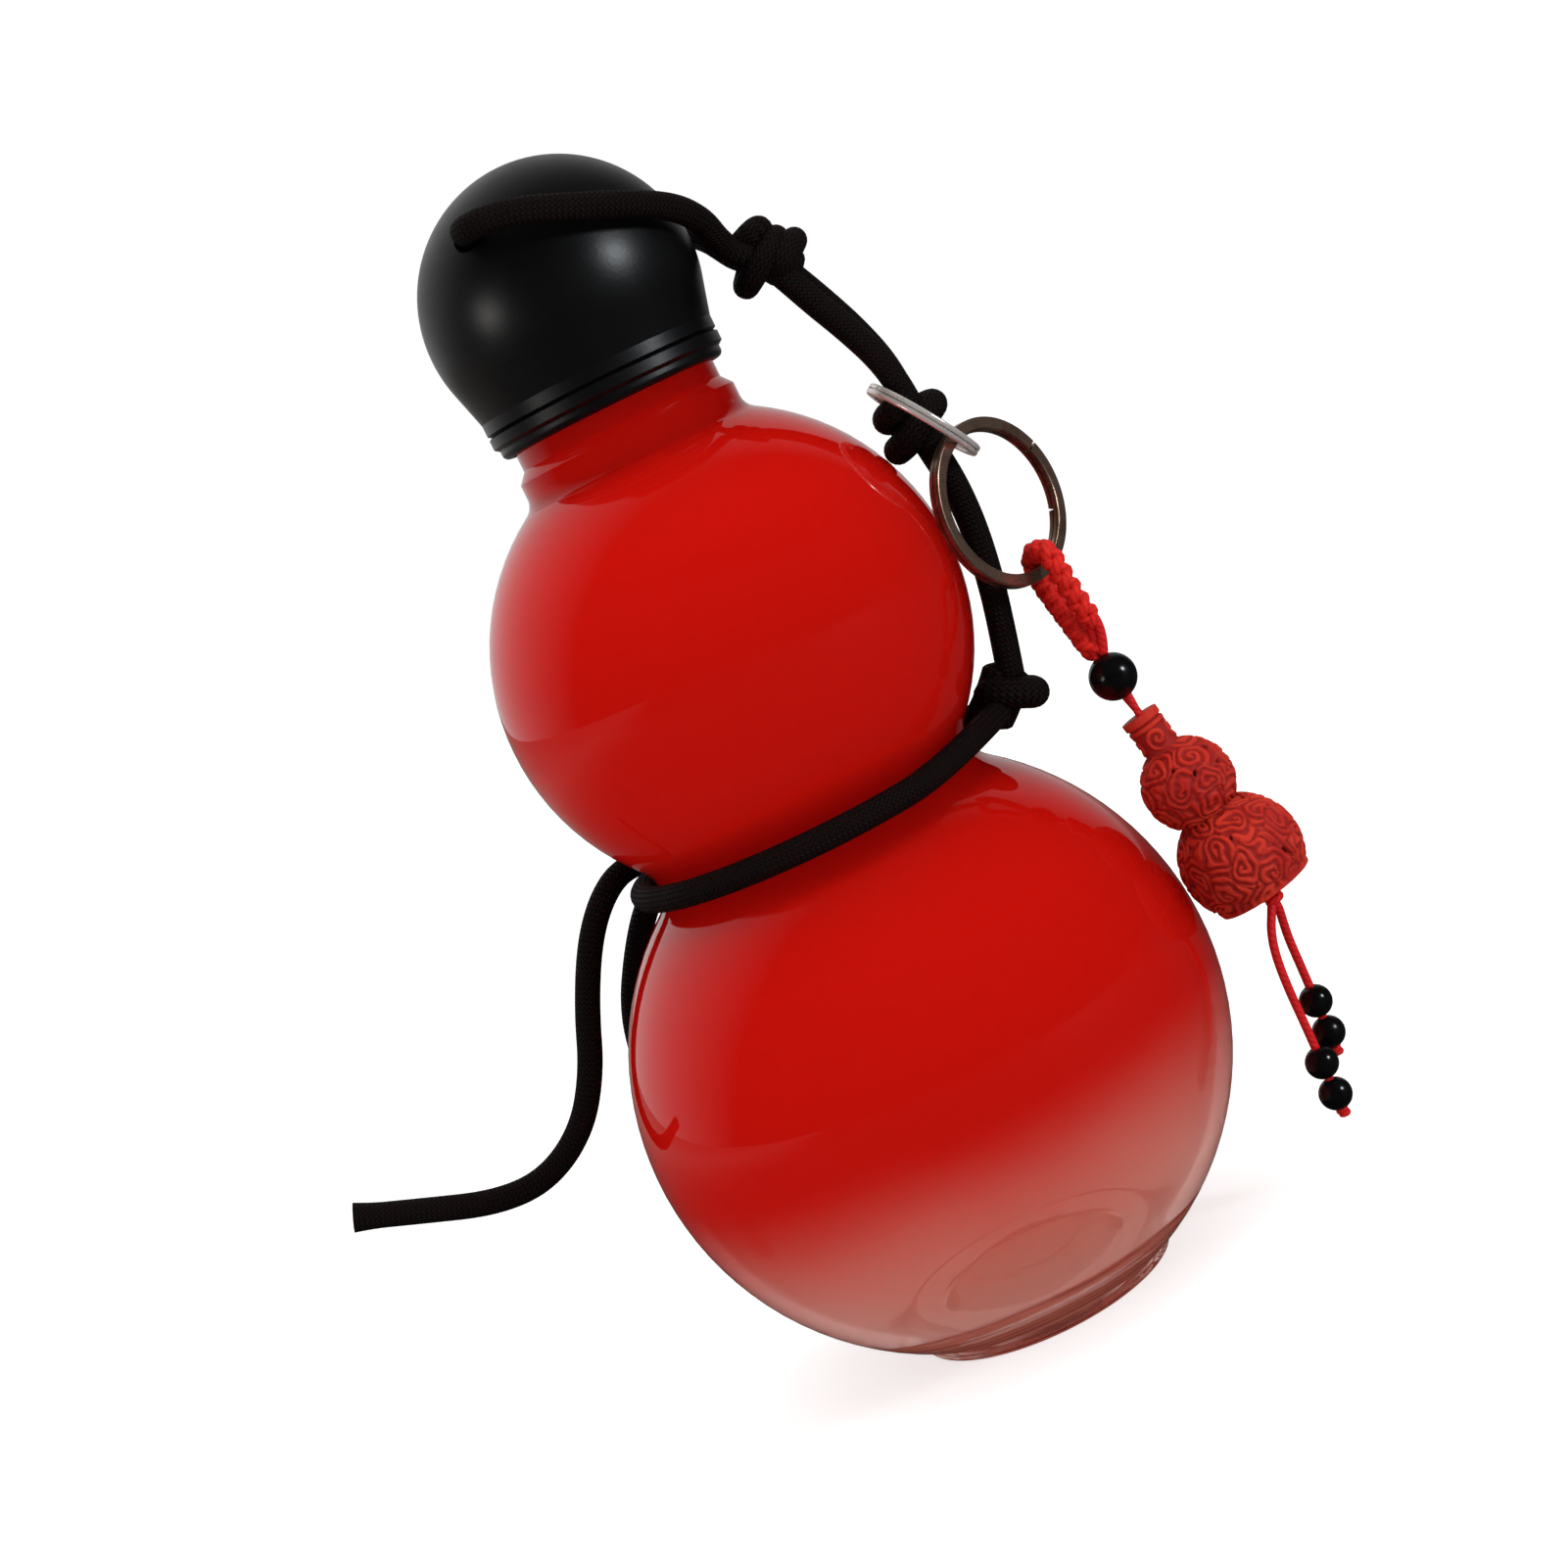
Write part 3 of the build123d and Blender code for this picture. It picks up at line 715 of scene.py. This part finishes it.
# Split rings: polished, and dulled in patches
smallRingSet = {
    "tones": ((0.9, 0.84, 0.8), (0.62, 0.54, 0.5)),
    "patches": (0.35, 0.7),
    "rough": (0.2, 0.34),
    "smear": (240.0, 4.0),
    "grain": (1500.0, 3.0, 0.7),
    "relief": (0.00002, 0.6),
    "sockets": {"Metallic": 0.7},
}
largeRingSet = {
    "tones": ((0.4, 0.27, 0.2), (0.17, 0.1, 0.07)),
    "patches": (0.35, 0.7),
    "rough": (0.22, 0.36),
    "smear": (240.0, 4.0),
    "grain": (1500.0, 3.0, 0.7),
    "relief": (0.00002, 0.6),
    "sockets": {"Metallic": 0.94},
}
dress("ring_small", smoothPaint("ringSilver", smallRingSet))
dress("ring_large", smoothPaint("ringNickel", largeRingSet))
print("rings dressed")

# The pendant's beads
beadSet = {
    "tones": ((0.0012, 0.0012, 0.0014), (0.0026, 0.0026, 0.003)),
    "rough": (0.16, 0.24),
    "smear": (500.0, 3.0),
    "sockets": {"Specular_IOR_Level": 0.3},
}
blackBead = smoothPaint("blackBead", beadSet)
for name in ("round_bead", "tassel_beads_left", "tassel_beads_right"):
    dress(name, blackBead)
print("beads dressed")


# The pendant's red cords
redSet = {
    "thin": 1.25,
    "tassel": 1.5,
    "step": 0.5,
    "sides": 12,
    "twist": 0.09,  # how far the two strands turn at each step
    "slant": 9.0,  # turns of the fibres in each centimetre
    "cloudScale": 260.0,
    "fibreScale": 2400.0,
    # the twisted fibres' share is painted shade between the fibres, the other is cloudy tone
    "toneShares": (0.55, 0.45),  # of the twisted fibres and of the clouds
    "reliefShares": (0.8, 0.2),  # of the twisted fibres and of the finest ones
    "relief": 0.00012,
    "knotSides": 10,
    "knotStep": 0.2,
    "knotSquash": (0.8, 0.78),  # along the cord and across it
}
routes["loop"] = [
    (53.2, -8.0, 95.0),
    (54.8, -8.8, 98.6),
    (53.6, -9.2, 104.0),
    (52.9, -9.0, 110.4),
    (52.7, -7.6, 114.3),
    (50.7, -1.2, 114.0),
    (50.4, -0.9, 109.8),
    (51.2, -3.0, 104.6),
    (52.0, -5.4, 99.4),
    (52.6, -7.7, 95.2),
]
routes["thin"] = [(52.7, -7.5, 97.6), (54.32, -8.53, 84.57), (61.3, -10.37, 46.96)]
routes["tasselLeft"] = [
    (61.0, -10.9, 46.2),
    (60.2, -11.6, 44.8),
    (58.5, -12.6, 42.0),
    (57.4, -13.2, 38.0),
    (57.0, -13.2, 31.6),
    (57.0, -13.2, 25.0),
    (56.6, -13.2, 9.8),
]
routes["tasselRight"] = [
    (61.4, -10.4, 46.9),
    (61.9, -9.4, 44.6),
    (61.7, -8.2, 42.0),
    (61.4, -7.2, 38.0),
    (61.3, -7.2, 32.0),
    (60.7, -7.2, 16.9),
]


# painted shade: darker between the twisted fibres and lighter on them, mixed with cloudy tone
def redPaint(name, turns, litTone, shadedTone, rough):  # twisted fibres run slantwise round each cord
    paint = Paint(name)
    u, v, _ = paint.axes(paint.place("UV"))
    twist = ((u * turns + v * redSet["slant"]).fraction() * math.pi).sine()
    fibre = paint.noise(paint.place(), redSet["fibreScale"], 3.0)
    cloud = paint.noise(paint.place(), redSet["cloudScale"], 2.0)
    shine = paint.surface(
        Base_Color=paint.blend(shared(twist, cloud, redSet["toneShares"]), shadedTone, litTone),
        Roughness=cloud.spread(*rough),
        Specular_IOR_Level=0.14,
        Normal=paint.bump(shared(twist, fibre, redSet["reliefShares"]), redSet["relief"], 0.8),
    )
    return paint.done(shine)


# each: its lit colour, its painted-shade colour, and its roughness
braidRed = redPaint("braidRed", 4, (0.68, 0.013, 0.006), (0.34, 0.005, 0.005), (0.5, 0.64))
cordRed = redPaint("cordRed", 3, (0.6, 0.009, 0.01), (0.38, 0.005, 0.007), (0.34, 0.48))

sinnetSet = {
    "strand": 2.05,
    "step": 0.35,
    "sides": 12,
    "turn": 5.2,  # length in which a strand goes once round
    "ring": 0.9,  # how far from the middle the strands lie
    "weave": 0.2,  # how far they pass over and under each other
    "bare": 6.2,  # length at its front end where two cords lie side by side
    "bareRadius": 0.8,
    "bareApart": (0.55, 0.5),  # sideways and in depth
    "braidOverlap": 4,  # steps that the braid reaches into the bare length
    "bareOverlap": 3,  # steps that the bare cords reach into the braid
    "startSwell": (0.6, 0.4, 1.6, 2.5),  # least width, growth, lead and the length it takes
    "endSwell": (0.78, 0.22, 1.6),  # least width, growth and the length it takes
    "longSwell": (0.94, 0.12),  # width at the start, and growth over the whole length
}


def addSinnet():  # round braid of four strands, folded over the ring, its front leg bare at the bottom
    line = evenly(lineOf(routes["loop"]), sinnetSet["step"] * mm)
    framed = framesOf(line)
    total = lengthOf(line)
    step = total / (len(line) - 1)
    bareEnd = round(sinnetSet["bare"] * mm / step)
    braidStart = bareEnd - sinnetSet["braidOverlap"]
    begun = step * braidStart
    half = sinnetSet["strand"] / 2 * mm

    def swell(walked):  # thinner where it starts and ends
        least, growth, lead, length = sinnetSet["startSwell"]
        start = min(1.0, least + growth * (walked / mm - sinnetSet["bare"] + lead) / length)
        least, growth, length = sinnetSet["endSwell"]
        end = min(1.0, least + growth * (total - walked) / (length * mm))
        least, growth = sinnetSet["longSwell"]
        return start * end * (least + growth * walked / total)

    def strandRadius(walked, whole):
        return half * swell(begun + (total - begun) * walked / whole)

    strands = []
    for k in range(4):
        hand = 1 if k < 2 else -1
        start = math.pi * k + (math.pi / 2 if k >= 2 else 0)
        path = []
        for i in range(braidStart, len(line)):
            spot, way, side, third = framed[i]
            turn = math.tau * step * i / (sinnetSet["turn"] * mm)
            weave = hand * sinnetSet["weave"] * math.sin(2 * turn)
            reach = (sinnetSet["ring"] + weave) * swell(step * i) * mm
            angle = start + hand * turn
            path.append(spot + (side * math.cos(angle) + third * math.sin(angle)) * reach)
        strands.append(tubeMesh("strand", path, strandRadius, sinnetSet["sides"]))
    bare = []
    sideways, deep = sinnetSet["bareApart"]
    for sign in (-1, 1):
        path = []
        for spot, way, side, third in framed[: bareEnd + sinnetSet["bareOverlap"]]:
            across = way.cross(Vector((0, 1, 0))).normalized()
            path.append(spot + (across * sideways * sign + Vector((0, deep * sign, 0))) * mm)
        bare.append(tubeMesh("bare", path, steady(sinnetSet["bareRadius"] * mm), sinnetSet["sides"]))
    cords = newPiece("sinnetBareCords", joined("sinnetBareCords", bare), cordRed, "pendant", "red_cord")
    mesh = joined("sinnetLoop", strands)
    piece = newPiece("sinnetLoop", mesh, braidRed, "pendant", "red_cord", "pendant_loop")


addSinnet()


def addThin(name, key, width, body, stand, strands=1):
    line = evenly(lineOf(routes[key]), redSet["step"] * mm)
    half = width * mm / 2
    paths = [line]
    if strands == 2:  # two strands side by side, turning slowly round each other
        paths = []
        for sign in (-half, half):
            path = []
            for i, (spot, way, side, third) in enumerate(framesOf(line)):
                angle = redSet["twist"] * i
                path.append(spot + (side * math.cos(angle) + third * math.sin(angle)) * sign)
            paths.append(path)
    mesh = joined(name, [tubeMesh(name, path, steady(half), redSet["sides"]) for path in paths])
    piece = newPiece(name, mesh, cordRed, body, "red_cord", stand)


def addRedKnot(name, centre, along, scale, width, body, stand):  # a small knot tied in a thin cord
    ahead = Vector(along).normalized()
    across = ahead.orthogonal().normalized()
    third = ahead.cross(across)
    long, wide = redSet["knotSquash"]
    route = []
    for a, b, c in ringCoils:
        route.append(Vector(centre) + (ahead * a * long + across * b + third * c * wide) * scale)
    line = evenly(lineOf(route), redSet["knotStep"] * mm)
    mesh = tubeMesh(name, line, steady(width * mm / 2), redSet["knotSides"])
    return newPiece(name, mesh, cordRed, body, "red_cord", stand)


charmTie = (0.36, 1.3)  # how large the knot is, and how thick its cord
tasselTie = (0.2, 0.95)
charmKnot = addRedKnot(
    "charmKnotTied",
    (61.3, -10.37, 46.9),
    (6.8, -1.8, -36.7),
    *charmTie,
    "pendant",
    "charm_knot",
)
leftKnot = addRedKnot(
    "tasselKnotLeftTied",
    (56.6, -13.2, 9.8),
    (-0.4, 0, -15.2),
    *tasselTie,
    "tassel_left",
    "tassel_knot_left",
)
rightKnot = addRedKnot(
    "tasselKnotRightTied",
    (60.7, -7.2, 17.8),
    (-0.6, 0, -14.2),
    *tasselTie,
    "tassel_right",
    "tassel_knot_right",
)
thin, tassel = redSet["thin"], redSet["tassel"]
addThin("thinCord", "thin", thin, "pendant", "pendant_cord", strands=2)
addThin("tasselCordLeft", "tasselLeft", tassel, "tassel_left", "tassel_cord_left")
addThin("tasselCordRight", "tasselRight", tassel, "tassel_right", "tassel_cord_right")
print("red cords laid")


# Carved gourd charm: two balls covered with scrolls, and a ringed neck
charmSet = {
    "top": (54.6, -8.6, 83.1),
    "lean": (6.8, -1.8, -36.7),
    "lowBall": (10.5, 28.6, 40, 5, 280),  # radius, depth below the top, scrolls, seed, grid
    "highBall": (7.9, 13.8, 26, 11, 220),
    "foot": 35.4,
    "footEdge": (0.2, 1.0),  # the carving fades from this far below the foot to this far above
    "footFlare": 0.45,
    "relief": 0.42,
    "pit": 1.1,
    "pitch": 1.45,
    "ridge": (0.52, 0.85),  # middle and swing of a ridge's height
    "spread": 2.39996,  # the golden angle sets the scrolls out evenly
    "stray": 0.35,
    "warp": 1.5,
    "warpScale": 0.33,
    "border": 0.7,  # width of the rim between two scrolls
    "borderShares": (0.45, 0.55),
    "pitEdge": (0.45, 1.1),  # a pit lies where three scrolls are this near to equally far
    "pitPatches": (2.1, 0.1),  # scale of the patches that have pits, and where they start
    "rough": (1.1, 0.24),  # scale and height of the hand's unevenness
    "heights": (0.35, 0.65),  # what the painted shade reads in a groove, and what a ridge adds
}
lacquerSet = {
    "raised": ((0.35, 0.01, 0.006), (0.48, 0.026, 0.011)),
    # painted shade: a darker colour in the grooves and a near-black one in the pits
    "shadedGroove": (0.25, 0.008, 0.006),
    "pit": (0.025, 0.002, 0.0015),
    "grooveDepths": (0.35, 0.85),  # the painted shade of the grooves turns to the ridge colour between these
    "pitDepths": (0.06, 0.3),
    "rough": (0.48, 0.62),
    "cloudScale": 160.0,
    "grainScale": 1500.0,
    "grain": 0.00012,
}


def charmPaint():
    paint = Paint("carvedLacquer")
    spot = paint.place()
    depth = paint.node("ShaderNodeAttribute", {"attribute_name": "depth"}, out="Fac")
    grain = paint.noise(spot, lacquerSet["grainScale"], 4.0, 0.65)
    cloud = paint.noise(spot, lacquerSet["cloudScale"], 3.0)
    raised = paint.blend(cloud.spread(), *lacquerSet["raised"])
    # painted shade: darker in the grooves, near black in the pits
    shadedGroove = paint.blend(depth.fade(*lacquerSet["grooveDepths"]), lacquerSet["shadedGroove"], raised)
    tone = paint.blend(depth.fade(*lacquerSet["pitDepths"]), lacquerSet["pit"], shadedGroove)
    shine = paint.surface(
        Base_Color=tone,
        Roughness=cloud.spread(*lacquerSet["rough"]),
        Specular_IOR_Level=0.12,
        Normal=paint.bump(grain, lacquerSet["grain"], 0.6),
    )
    return paint.done(shine)


def ridgeAt(across, up, hand, phase):  # 1 on a spiral's ridge, 0 in the groove beside it
    span = math.hypot(across, up)
    turn = math.atan2(up, across) * hand / math.tau
    wave = span / charmSet["pitch"] - turn + phase
    middle, swing = charmSet["ridge"]
    return min(1.0, max(0.0, middle + swing * math.cos(math.tau * wave)))


def ease(value, start, end):
    share = min(1.0, max(0.0, (value - start) / (end - start)))
    return share * share * (3 - 2 * share)


def keepDepths(shape, depths):  # for the painted shade, darker in the grooves and darkest in the pits
    kept = shape.data.attributes.new("depth", "FLOAT", "POINT")
    kept.data.foreach_set("value", depths)
    return shape


def scrollEyes(count):  # one scroll round each of these, out to where the next one starts
    eyes = []
    for i in range(count):
        height = 1 - 2 * (i + 0.5) / count
        angle = i * charmSet["spread"] + random.uniform(-charmSet["stray"], charmSet["stray"])
        wide = math.sqrt(1 - height * height)
        centre = Vector((wide * math.cos(angle), wide * math.sin(angle), height))
        side = centre.orthogonal().normalized()
        eyes.append((centre, side, centre.cross(side), random.choice((-1, 1)), random.random()))
    return eyes


def carvedBall(radius, depth, count, seed, grid):
    random.seed(seed)
    bpy.ops.object.select_all(action="DESELECT")
    bpy.ops.mesh.primitive_uv_sphere_add(segments=grid, ring_count=grid // 2, radius=radius)
    ball = bpy.context.object
    eyes = scrollEyes(count)
    base = -charmSet["foot"]
    below, above = charmSet["footEdge"]
    patchScale, patchStart = charmSet["pitPatches"]
    roughScale, roughHeight = charmSet["rough"]
    low, rest = charmSet["heights"]
    middleShare, borderShare = charmSet["borderShares"]
    depths = []
    for vertex in ball.data.vertices:
        way = vertex.co.normalized()
        place = way * radius * charmSet["warpScale"] + Vector((seed, 0, 0))
        bent = (way * radius + noise.noise_vector(place) * charmSet["warp"]).normalized()
        near = sorted(((bent.dot(eye[0]), k) for k, eye in enumerate(eyes)), reverse=True)[:3]
        spans = [math.acos(min(1.0, cosine)) * radius for cosine, k in near]
        centre, side, third, hand, phase = eyes[near[0][1]]
        flat = bent - centre * near[0][0]
        scale = spans[0] / max(flat.length, 1e-6)
        ridge = ridgeAt(flat.dot(side) * scale, flat.dot(third) * scale, hand, phase)
        border = ease(spans[1] - spans[0], 0.0, charmSet["border"])
        pit = 1 - ease(spans[2] - spans[0], *charmSet["pitEdge"])
        if noise.noise(way * patchScale + Vector((0, 0, seed))) < patchStart:
            pit = 0.0
        raised = ridge * (middleShare + borderShare * border)
        rough = noise.noise(way * radius * roughScale) * roughHeight
        foot = ease(vertex.co.z - depth, base - below, base + above)
        raised = 1 - (1 - raised) * foot
        pit *= foot
        drop = charmSet["relief"] * (1 - raised) + charmSet["pit"] * pit + rough * foot
        grown = radius + charmSet["footFlare"] * (1 - foot) - max(0.0, drop)
        vertex.co = way * grown - Vector((0, 0, depth))
        vertex.co.z = max(vertex.co.z, base)
        depths.append((low + rest * raised) * (1 - pit))
    return keepDepths(ball, depths)


neckSet = {
    "height": 7.2,
    "radius": 3.0,
    "sides": 120,
    "rings": 60,
    "rim": (-1.45, -1.15),  # the top rim rises between these heights
    "band": (2.1, 0.5, 0.25),  # depth below the top, half width, and edge
    "scrolls": (4, 4.4, 2.2, 0.5, 0.3),  # number, depth below the top, reach, edge and phase
    "grow": (0.38, 0.34, 0.1, 0.4),  # by the rim, by what is raised, everywhere, and by the foot
    "foot": (5.6, 7.2),
}


def carvedNeck():
    low = neckSet["height"]
    bpy.ops.object.select_all(action="DESELECT")
    bpy.ops.mesh.primitive_cylinder_add(
        vertices=neckSet["sides"], radius=neckSet["radius"], depth=low, location=(0, 0, -low / 2)
    )
    neck = bpy.context.object
    bpy.ops.object.mode_set(mode="EDIT")
    for i in range(1, neckSet["rings"]):
        bpy.ops.mesh.select_all(action="SELECT")
        bpy.ops.mesh.bisect(plane_co=(0, 0, -low * i / neckSet["rings"]), plane_no=(0, 0, 1))
    bpy.ops.object.mode_set(mode="OBJECT")
    bpy.ops.object.transform_apply(location=True)
    bandDepth, bandHalf, bandEdge = neckSet["band"]
    count, scrollDepth, reach, edge, phase = neckSet["scrolls"]
    rimGrow, raisedGrow, shrink, footGrow = neckSet["grow"]
    base, rest = charmSet["heights"]
    depths = []
    for vertex in neck.data.vertices:
        across, third, up = vertex.co
        angle = math.atan2(third, across)
        rim = ease(up, *neckSet["rim"])
        band = ease(bandHalf - abs(up + bandDepth), 0.0, bandEdge)
        scroll = 0.0
        for i in range(count):
            apart = (angle - math.tau * i / count + math.pi) % math.tau - math.pi
            aside = apart * neckSet["radius"]
            inside = ease(reach - math.hypot(aside, up + scrollDepth), 0.0, edge)
            scroll = max(scroll, inside * ridgeAt(aside, up + scrollDepth, 1 if i % 2 else -1, phase))
        raised = max(scroll, rim, band)
        flare = footGrow * ease(-up, *neckSet["foot"])
        added = rimGrow * rim + raisedGrow * raised * (1 - rim) - shrink + flare
        vertex.co.x *= 1 + added / neckSet["radius"]
        vertex.co.y *= 1 + added / neckSet["radius"]
        depths.append(base + rest * raised)
    return keepDepths(neck, depths)


def addCharm():
    parts = [carvedBall(*charmSet["lowBall"]), carvedBall(*charmSet["highBall"]), carvedNeck()]
    bpy.ops.object.select_all(action="DESELECT")
    for part in parts:
        part.select_set(True)
    bpy.context.view_layer.objects.active = parts[0]
    bpy.ops.object.join()
    charm = bpy.context.object
    charm.name = "carvedCharm"
    up = -Vector(charmSet["lean"]).normalized()
    side = up.cross(Vector((0, 1, 0))).normalized()
    turn = Matrix((side, up.cross(side), up)).transposed().to_4x4()
    charm.data.transform(Matrix.Translation(Vector(charmSet["top"]) * mm) @ turn @ Matrix.Scale(mm, 4))
    charm.data.materials.clear()
    charm.data.materials.append(charmPaint())
    bpy.ops.object.shade_smooth()
    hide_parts("gourd_charm")
    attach(charm, "charm")


addCharm()
print("charm carved")


# Studio: pale floor, soft lamps, and what shiny surfaces see of the room
studioSet = {
    "floor": 6.0,
    "drop": 0.0002,  # the floor lies this far below the bottle's base
    "matt": (0.6, 0.6, 0.6, 1),
    "rough": 0.9,
    "glow": 0.62,
    "skyWay": (0.0, -0.6, 0.8),
    "skyFrom": -0.4,
    "skyLow": 0.42,
    "skyHigh": 0.95,
    "target": (0, 0, 0.1),
}
mirrorSet = {
    "way": (-0.35, 0.87, 0.35),
    "from": 0.3,
    "front": 0.018,
    "behind": 0.72,
    "floorWay": (-0.75, 0.66),
    "floorEdge": (0.1, 0.7),
    "floorTones": ((0.03, 0.028, 0.027), (0.28, 0.25, 0.23)),  # in front, and far behind
}
lampRows = (  # place, size, power, colour, and whether shiny surfaces show it
    ("leftSoft", (-0.83, -0.5, 0.36), 0.3, 1.6, (1.0, 0.97, 0.94), True),
    ("rightSoft", (0.80, -0.53, 0.37), 0.2, 4.4, (0.9, 0.96, 1.0), True),
    ("overhead", (0.1, -0.1, 1.2), 0.9, 4.7, (1.0, 0.98, 0.95), False),
)


def addFloor():
    bpy.ops.object.select_all(action="DESELECT")
    bpy.ops.mesh.primitive_circle_add(vertices=128, radius=studioSet["floor"], fill_type="NGON")
    floor = bpy.context.object
    floor.name = "floor"
    paint = Paint("paleFloor")
    finish = {"Roughness": studioSet["rough"], "Specular_IOR_Level": 0.1}
    matt = paint.surface(Base_Color=studioSet["matt"], **finish)
    x, y, _ = paint.axes(paint.place())
    aside, back = mirrorSet["floorWay"]
    away = (y * back + x * aside).fade(*mirrorSet["floorEdge"])
    dim = paint.surface(Base_Color=paint.blend(away, *mirrorSet["floorTones"]), **finish)
    seen = paint.node("ShaderNodeLightPath", out="Is Camera Ray")
    through = paint.node("ShaderNodeLightPath", out="Is Transmission Ray")
    mirrored = paint.node("ShaderNodeLightPath", out="Is Glossy Ray")
    glow = paint.node(
        "ShaderNodeEmission", values={"Color": (1, 1, 1, 1), "Strength": studioSet["glow"]}
    )
    both = paint.node("ShaderNodeAddShader", values={0: matt, 1: glow})
    lit = paint.mix(seen.most(through), matt, both)
    floor.data.materials.append(paint.done(paint.mix(mirrored * (1 - through), lit, dim)))
    floor.location.z = -studioSet["drop"]


def domeStrength(tree, way, lowFrom, low, high):
    spot = tree.nodes.new("ShaderNodeTexCoord")
    lean = tree.nodes.new("ShaderNodeVectorMath")
    lean.operation = "DOT_PRODUCT"
    tree.links.new(spot.outputs["Generated"], lean.inputs[0])
    lean.inputs[1].default_value = way
    dome = tree.nodes.new("ShaderNodeMapRange")
    tree.links.new(lean.outputs["Value"], dome.inputs["Value"])
    dome.inputs["From Min"].default_value = lowFrom
    dome.inputs["To Min"].default_value = low
    dome.inputs["To Max"].default_value = high
    return dome.outputs[0]


def chosen(tree, factor, first, second):  # first where the factor is 0, second where it is 1
    mix = tree.nodes.new("ShaderNodeMix")
    tree.links.new(factor, mix.inputs[0])
    for place, value in ((2, first), (3, second)):
        if isinstance(value, float):
            mix.inputs[place].default_value = value
        else:
            tree.links.new(value, mix.inputs[place])
    return mix.outputs[0]


def addWorld():
    world = bpy.data.worlds.new("studio")
    bpy.context.scene.world = world
    world.use_nodes = True
    tree = world.node_tree
    tree.nodes.clear()
    path = tree.nodes.new("ShaderNodeLightPath")
    wide = tree.nodes.new("ShaderNodeMath")
    wide.operation = "MAXIMUM"
    tree.links.new(path.outputs["Is Camera Ray"], wide.inputs[0])
    tree.links.new(path.outputs["Is Transmission Ray"], wide.inputs[1])
    low, high = studioSet["skyLow"], studioSet["skyHigh"]
    soft = domeStrength(tree, studioSet["skyWay"], studioSet["skyFrom"], low, high)
    low, high = mirrorSet["front"], mirrorSet["behind"]
    mirror = domeStrength(tree, mirrorSet["way"], mirrorSet["from"], low, high)
    strength = chosen(tree, path.outputs["Is Glossy Ray"], soft, mirror)
    strength = chosen(tree, wide.outputs[0], strength, 1.0)
    sky = tree.nodes.new("ShaderNodeBackground")
    sky.inputs["Color"].default_value = (1, 1, 1, 1)
    tree.links.new(strength, sky.inputs["Strength"])
    out = tree.nodes.new("ShaderNodeOutputWorld")
    tree.links.new(sky.outputs[0], out.inputs[0])


def addLamps():
    spared = bpy.data.collections.new("glassSpared")  # the two side lamps leave no spots on the glass
    spared.objects.link(nodes["bottle_shell"])
    spared.collection_objects[0].light_linking.link_state = "EXCLUDE"
    for name, spot, size, power, colour, shows in lampRows:
        bpy.ops.object.light_add(type="AREA", location=spot)
        lamp = bpy.context.object
        lamp.name = name
        lamp.data.shape = "DISK"
        lamp.data.size = size
        lamp.data.energy = power
        lamp.data.color = colour
        away = Vector(spot) - Vector(studioSet["target"])
        lamp.rotation_euler = away.to_track_quat("Z", "Y").to_euler()
        lamp.visible_glossy = shows
        if name.endswith("Soft"):
            lamp.light_linking.receiver_collection = spared


addFloor()
addWorld()
addLamps()
bpy.context.scene.view_settings.view_transform = "Standard"
print("studio lit")
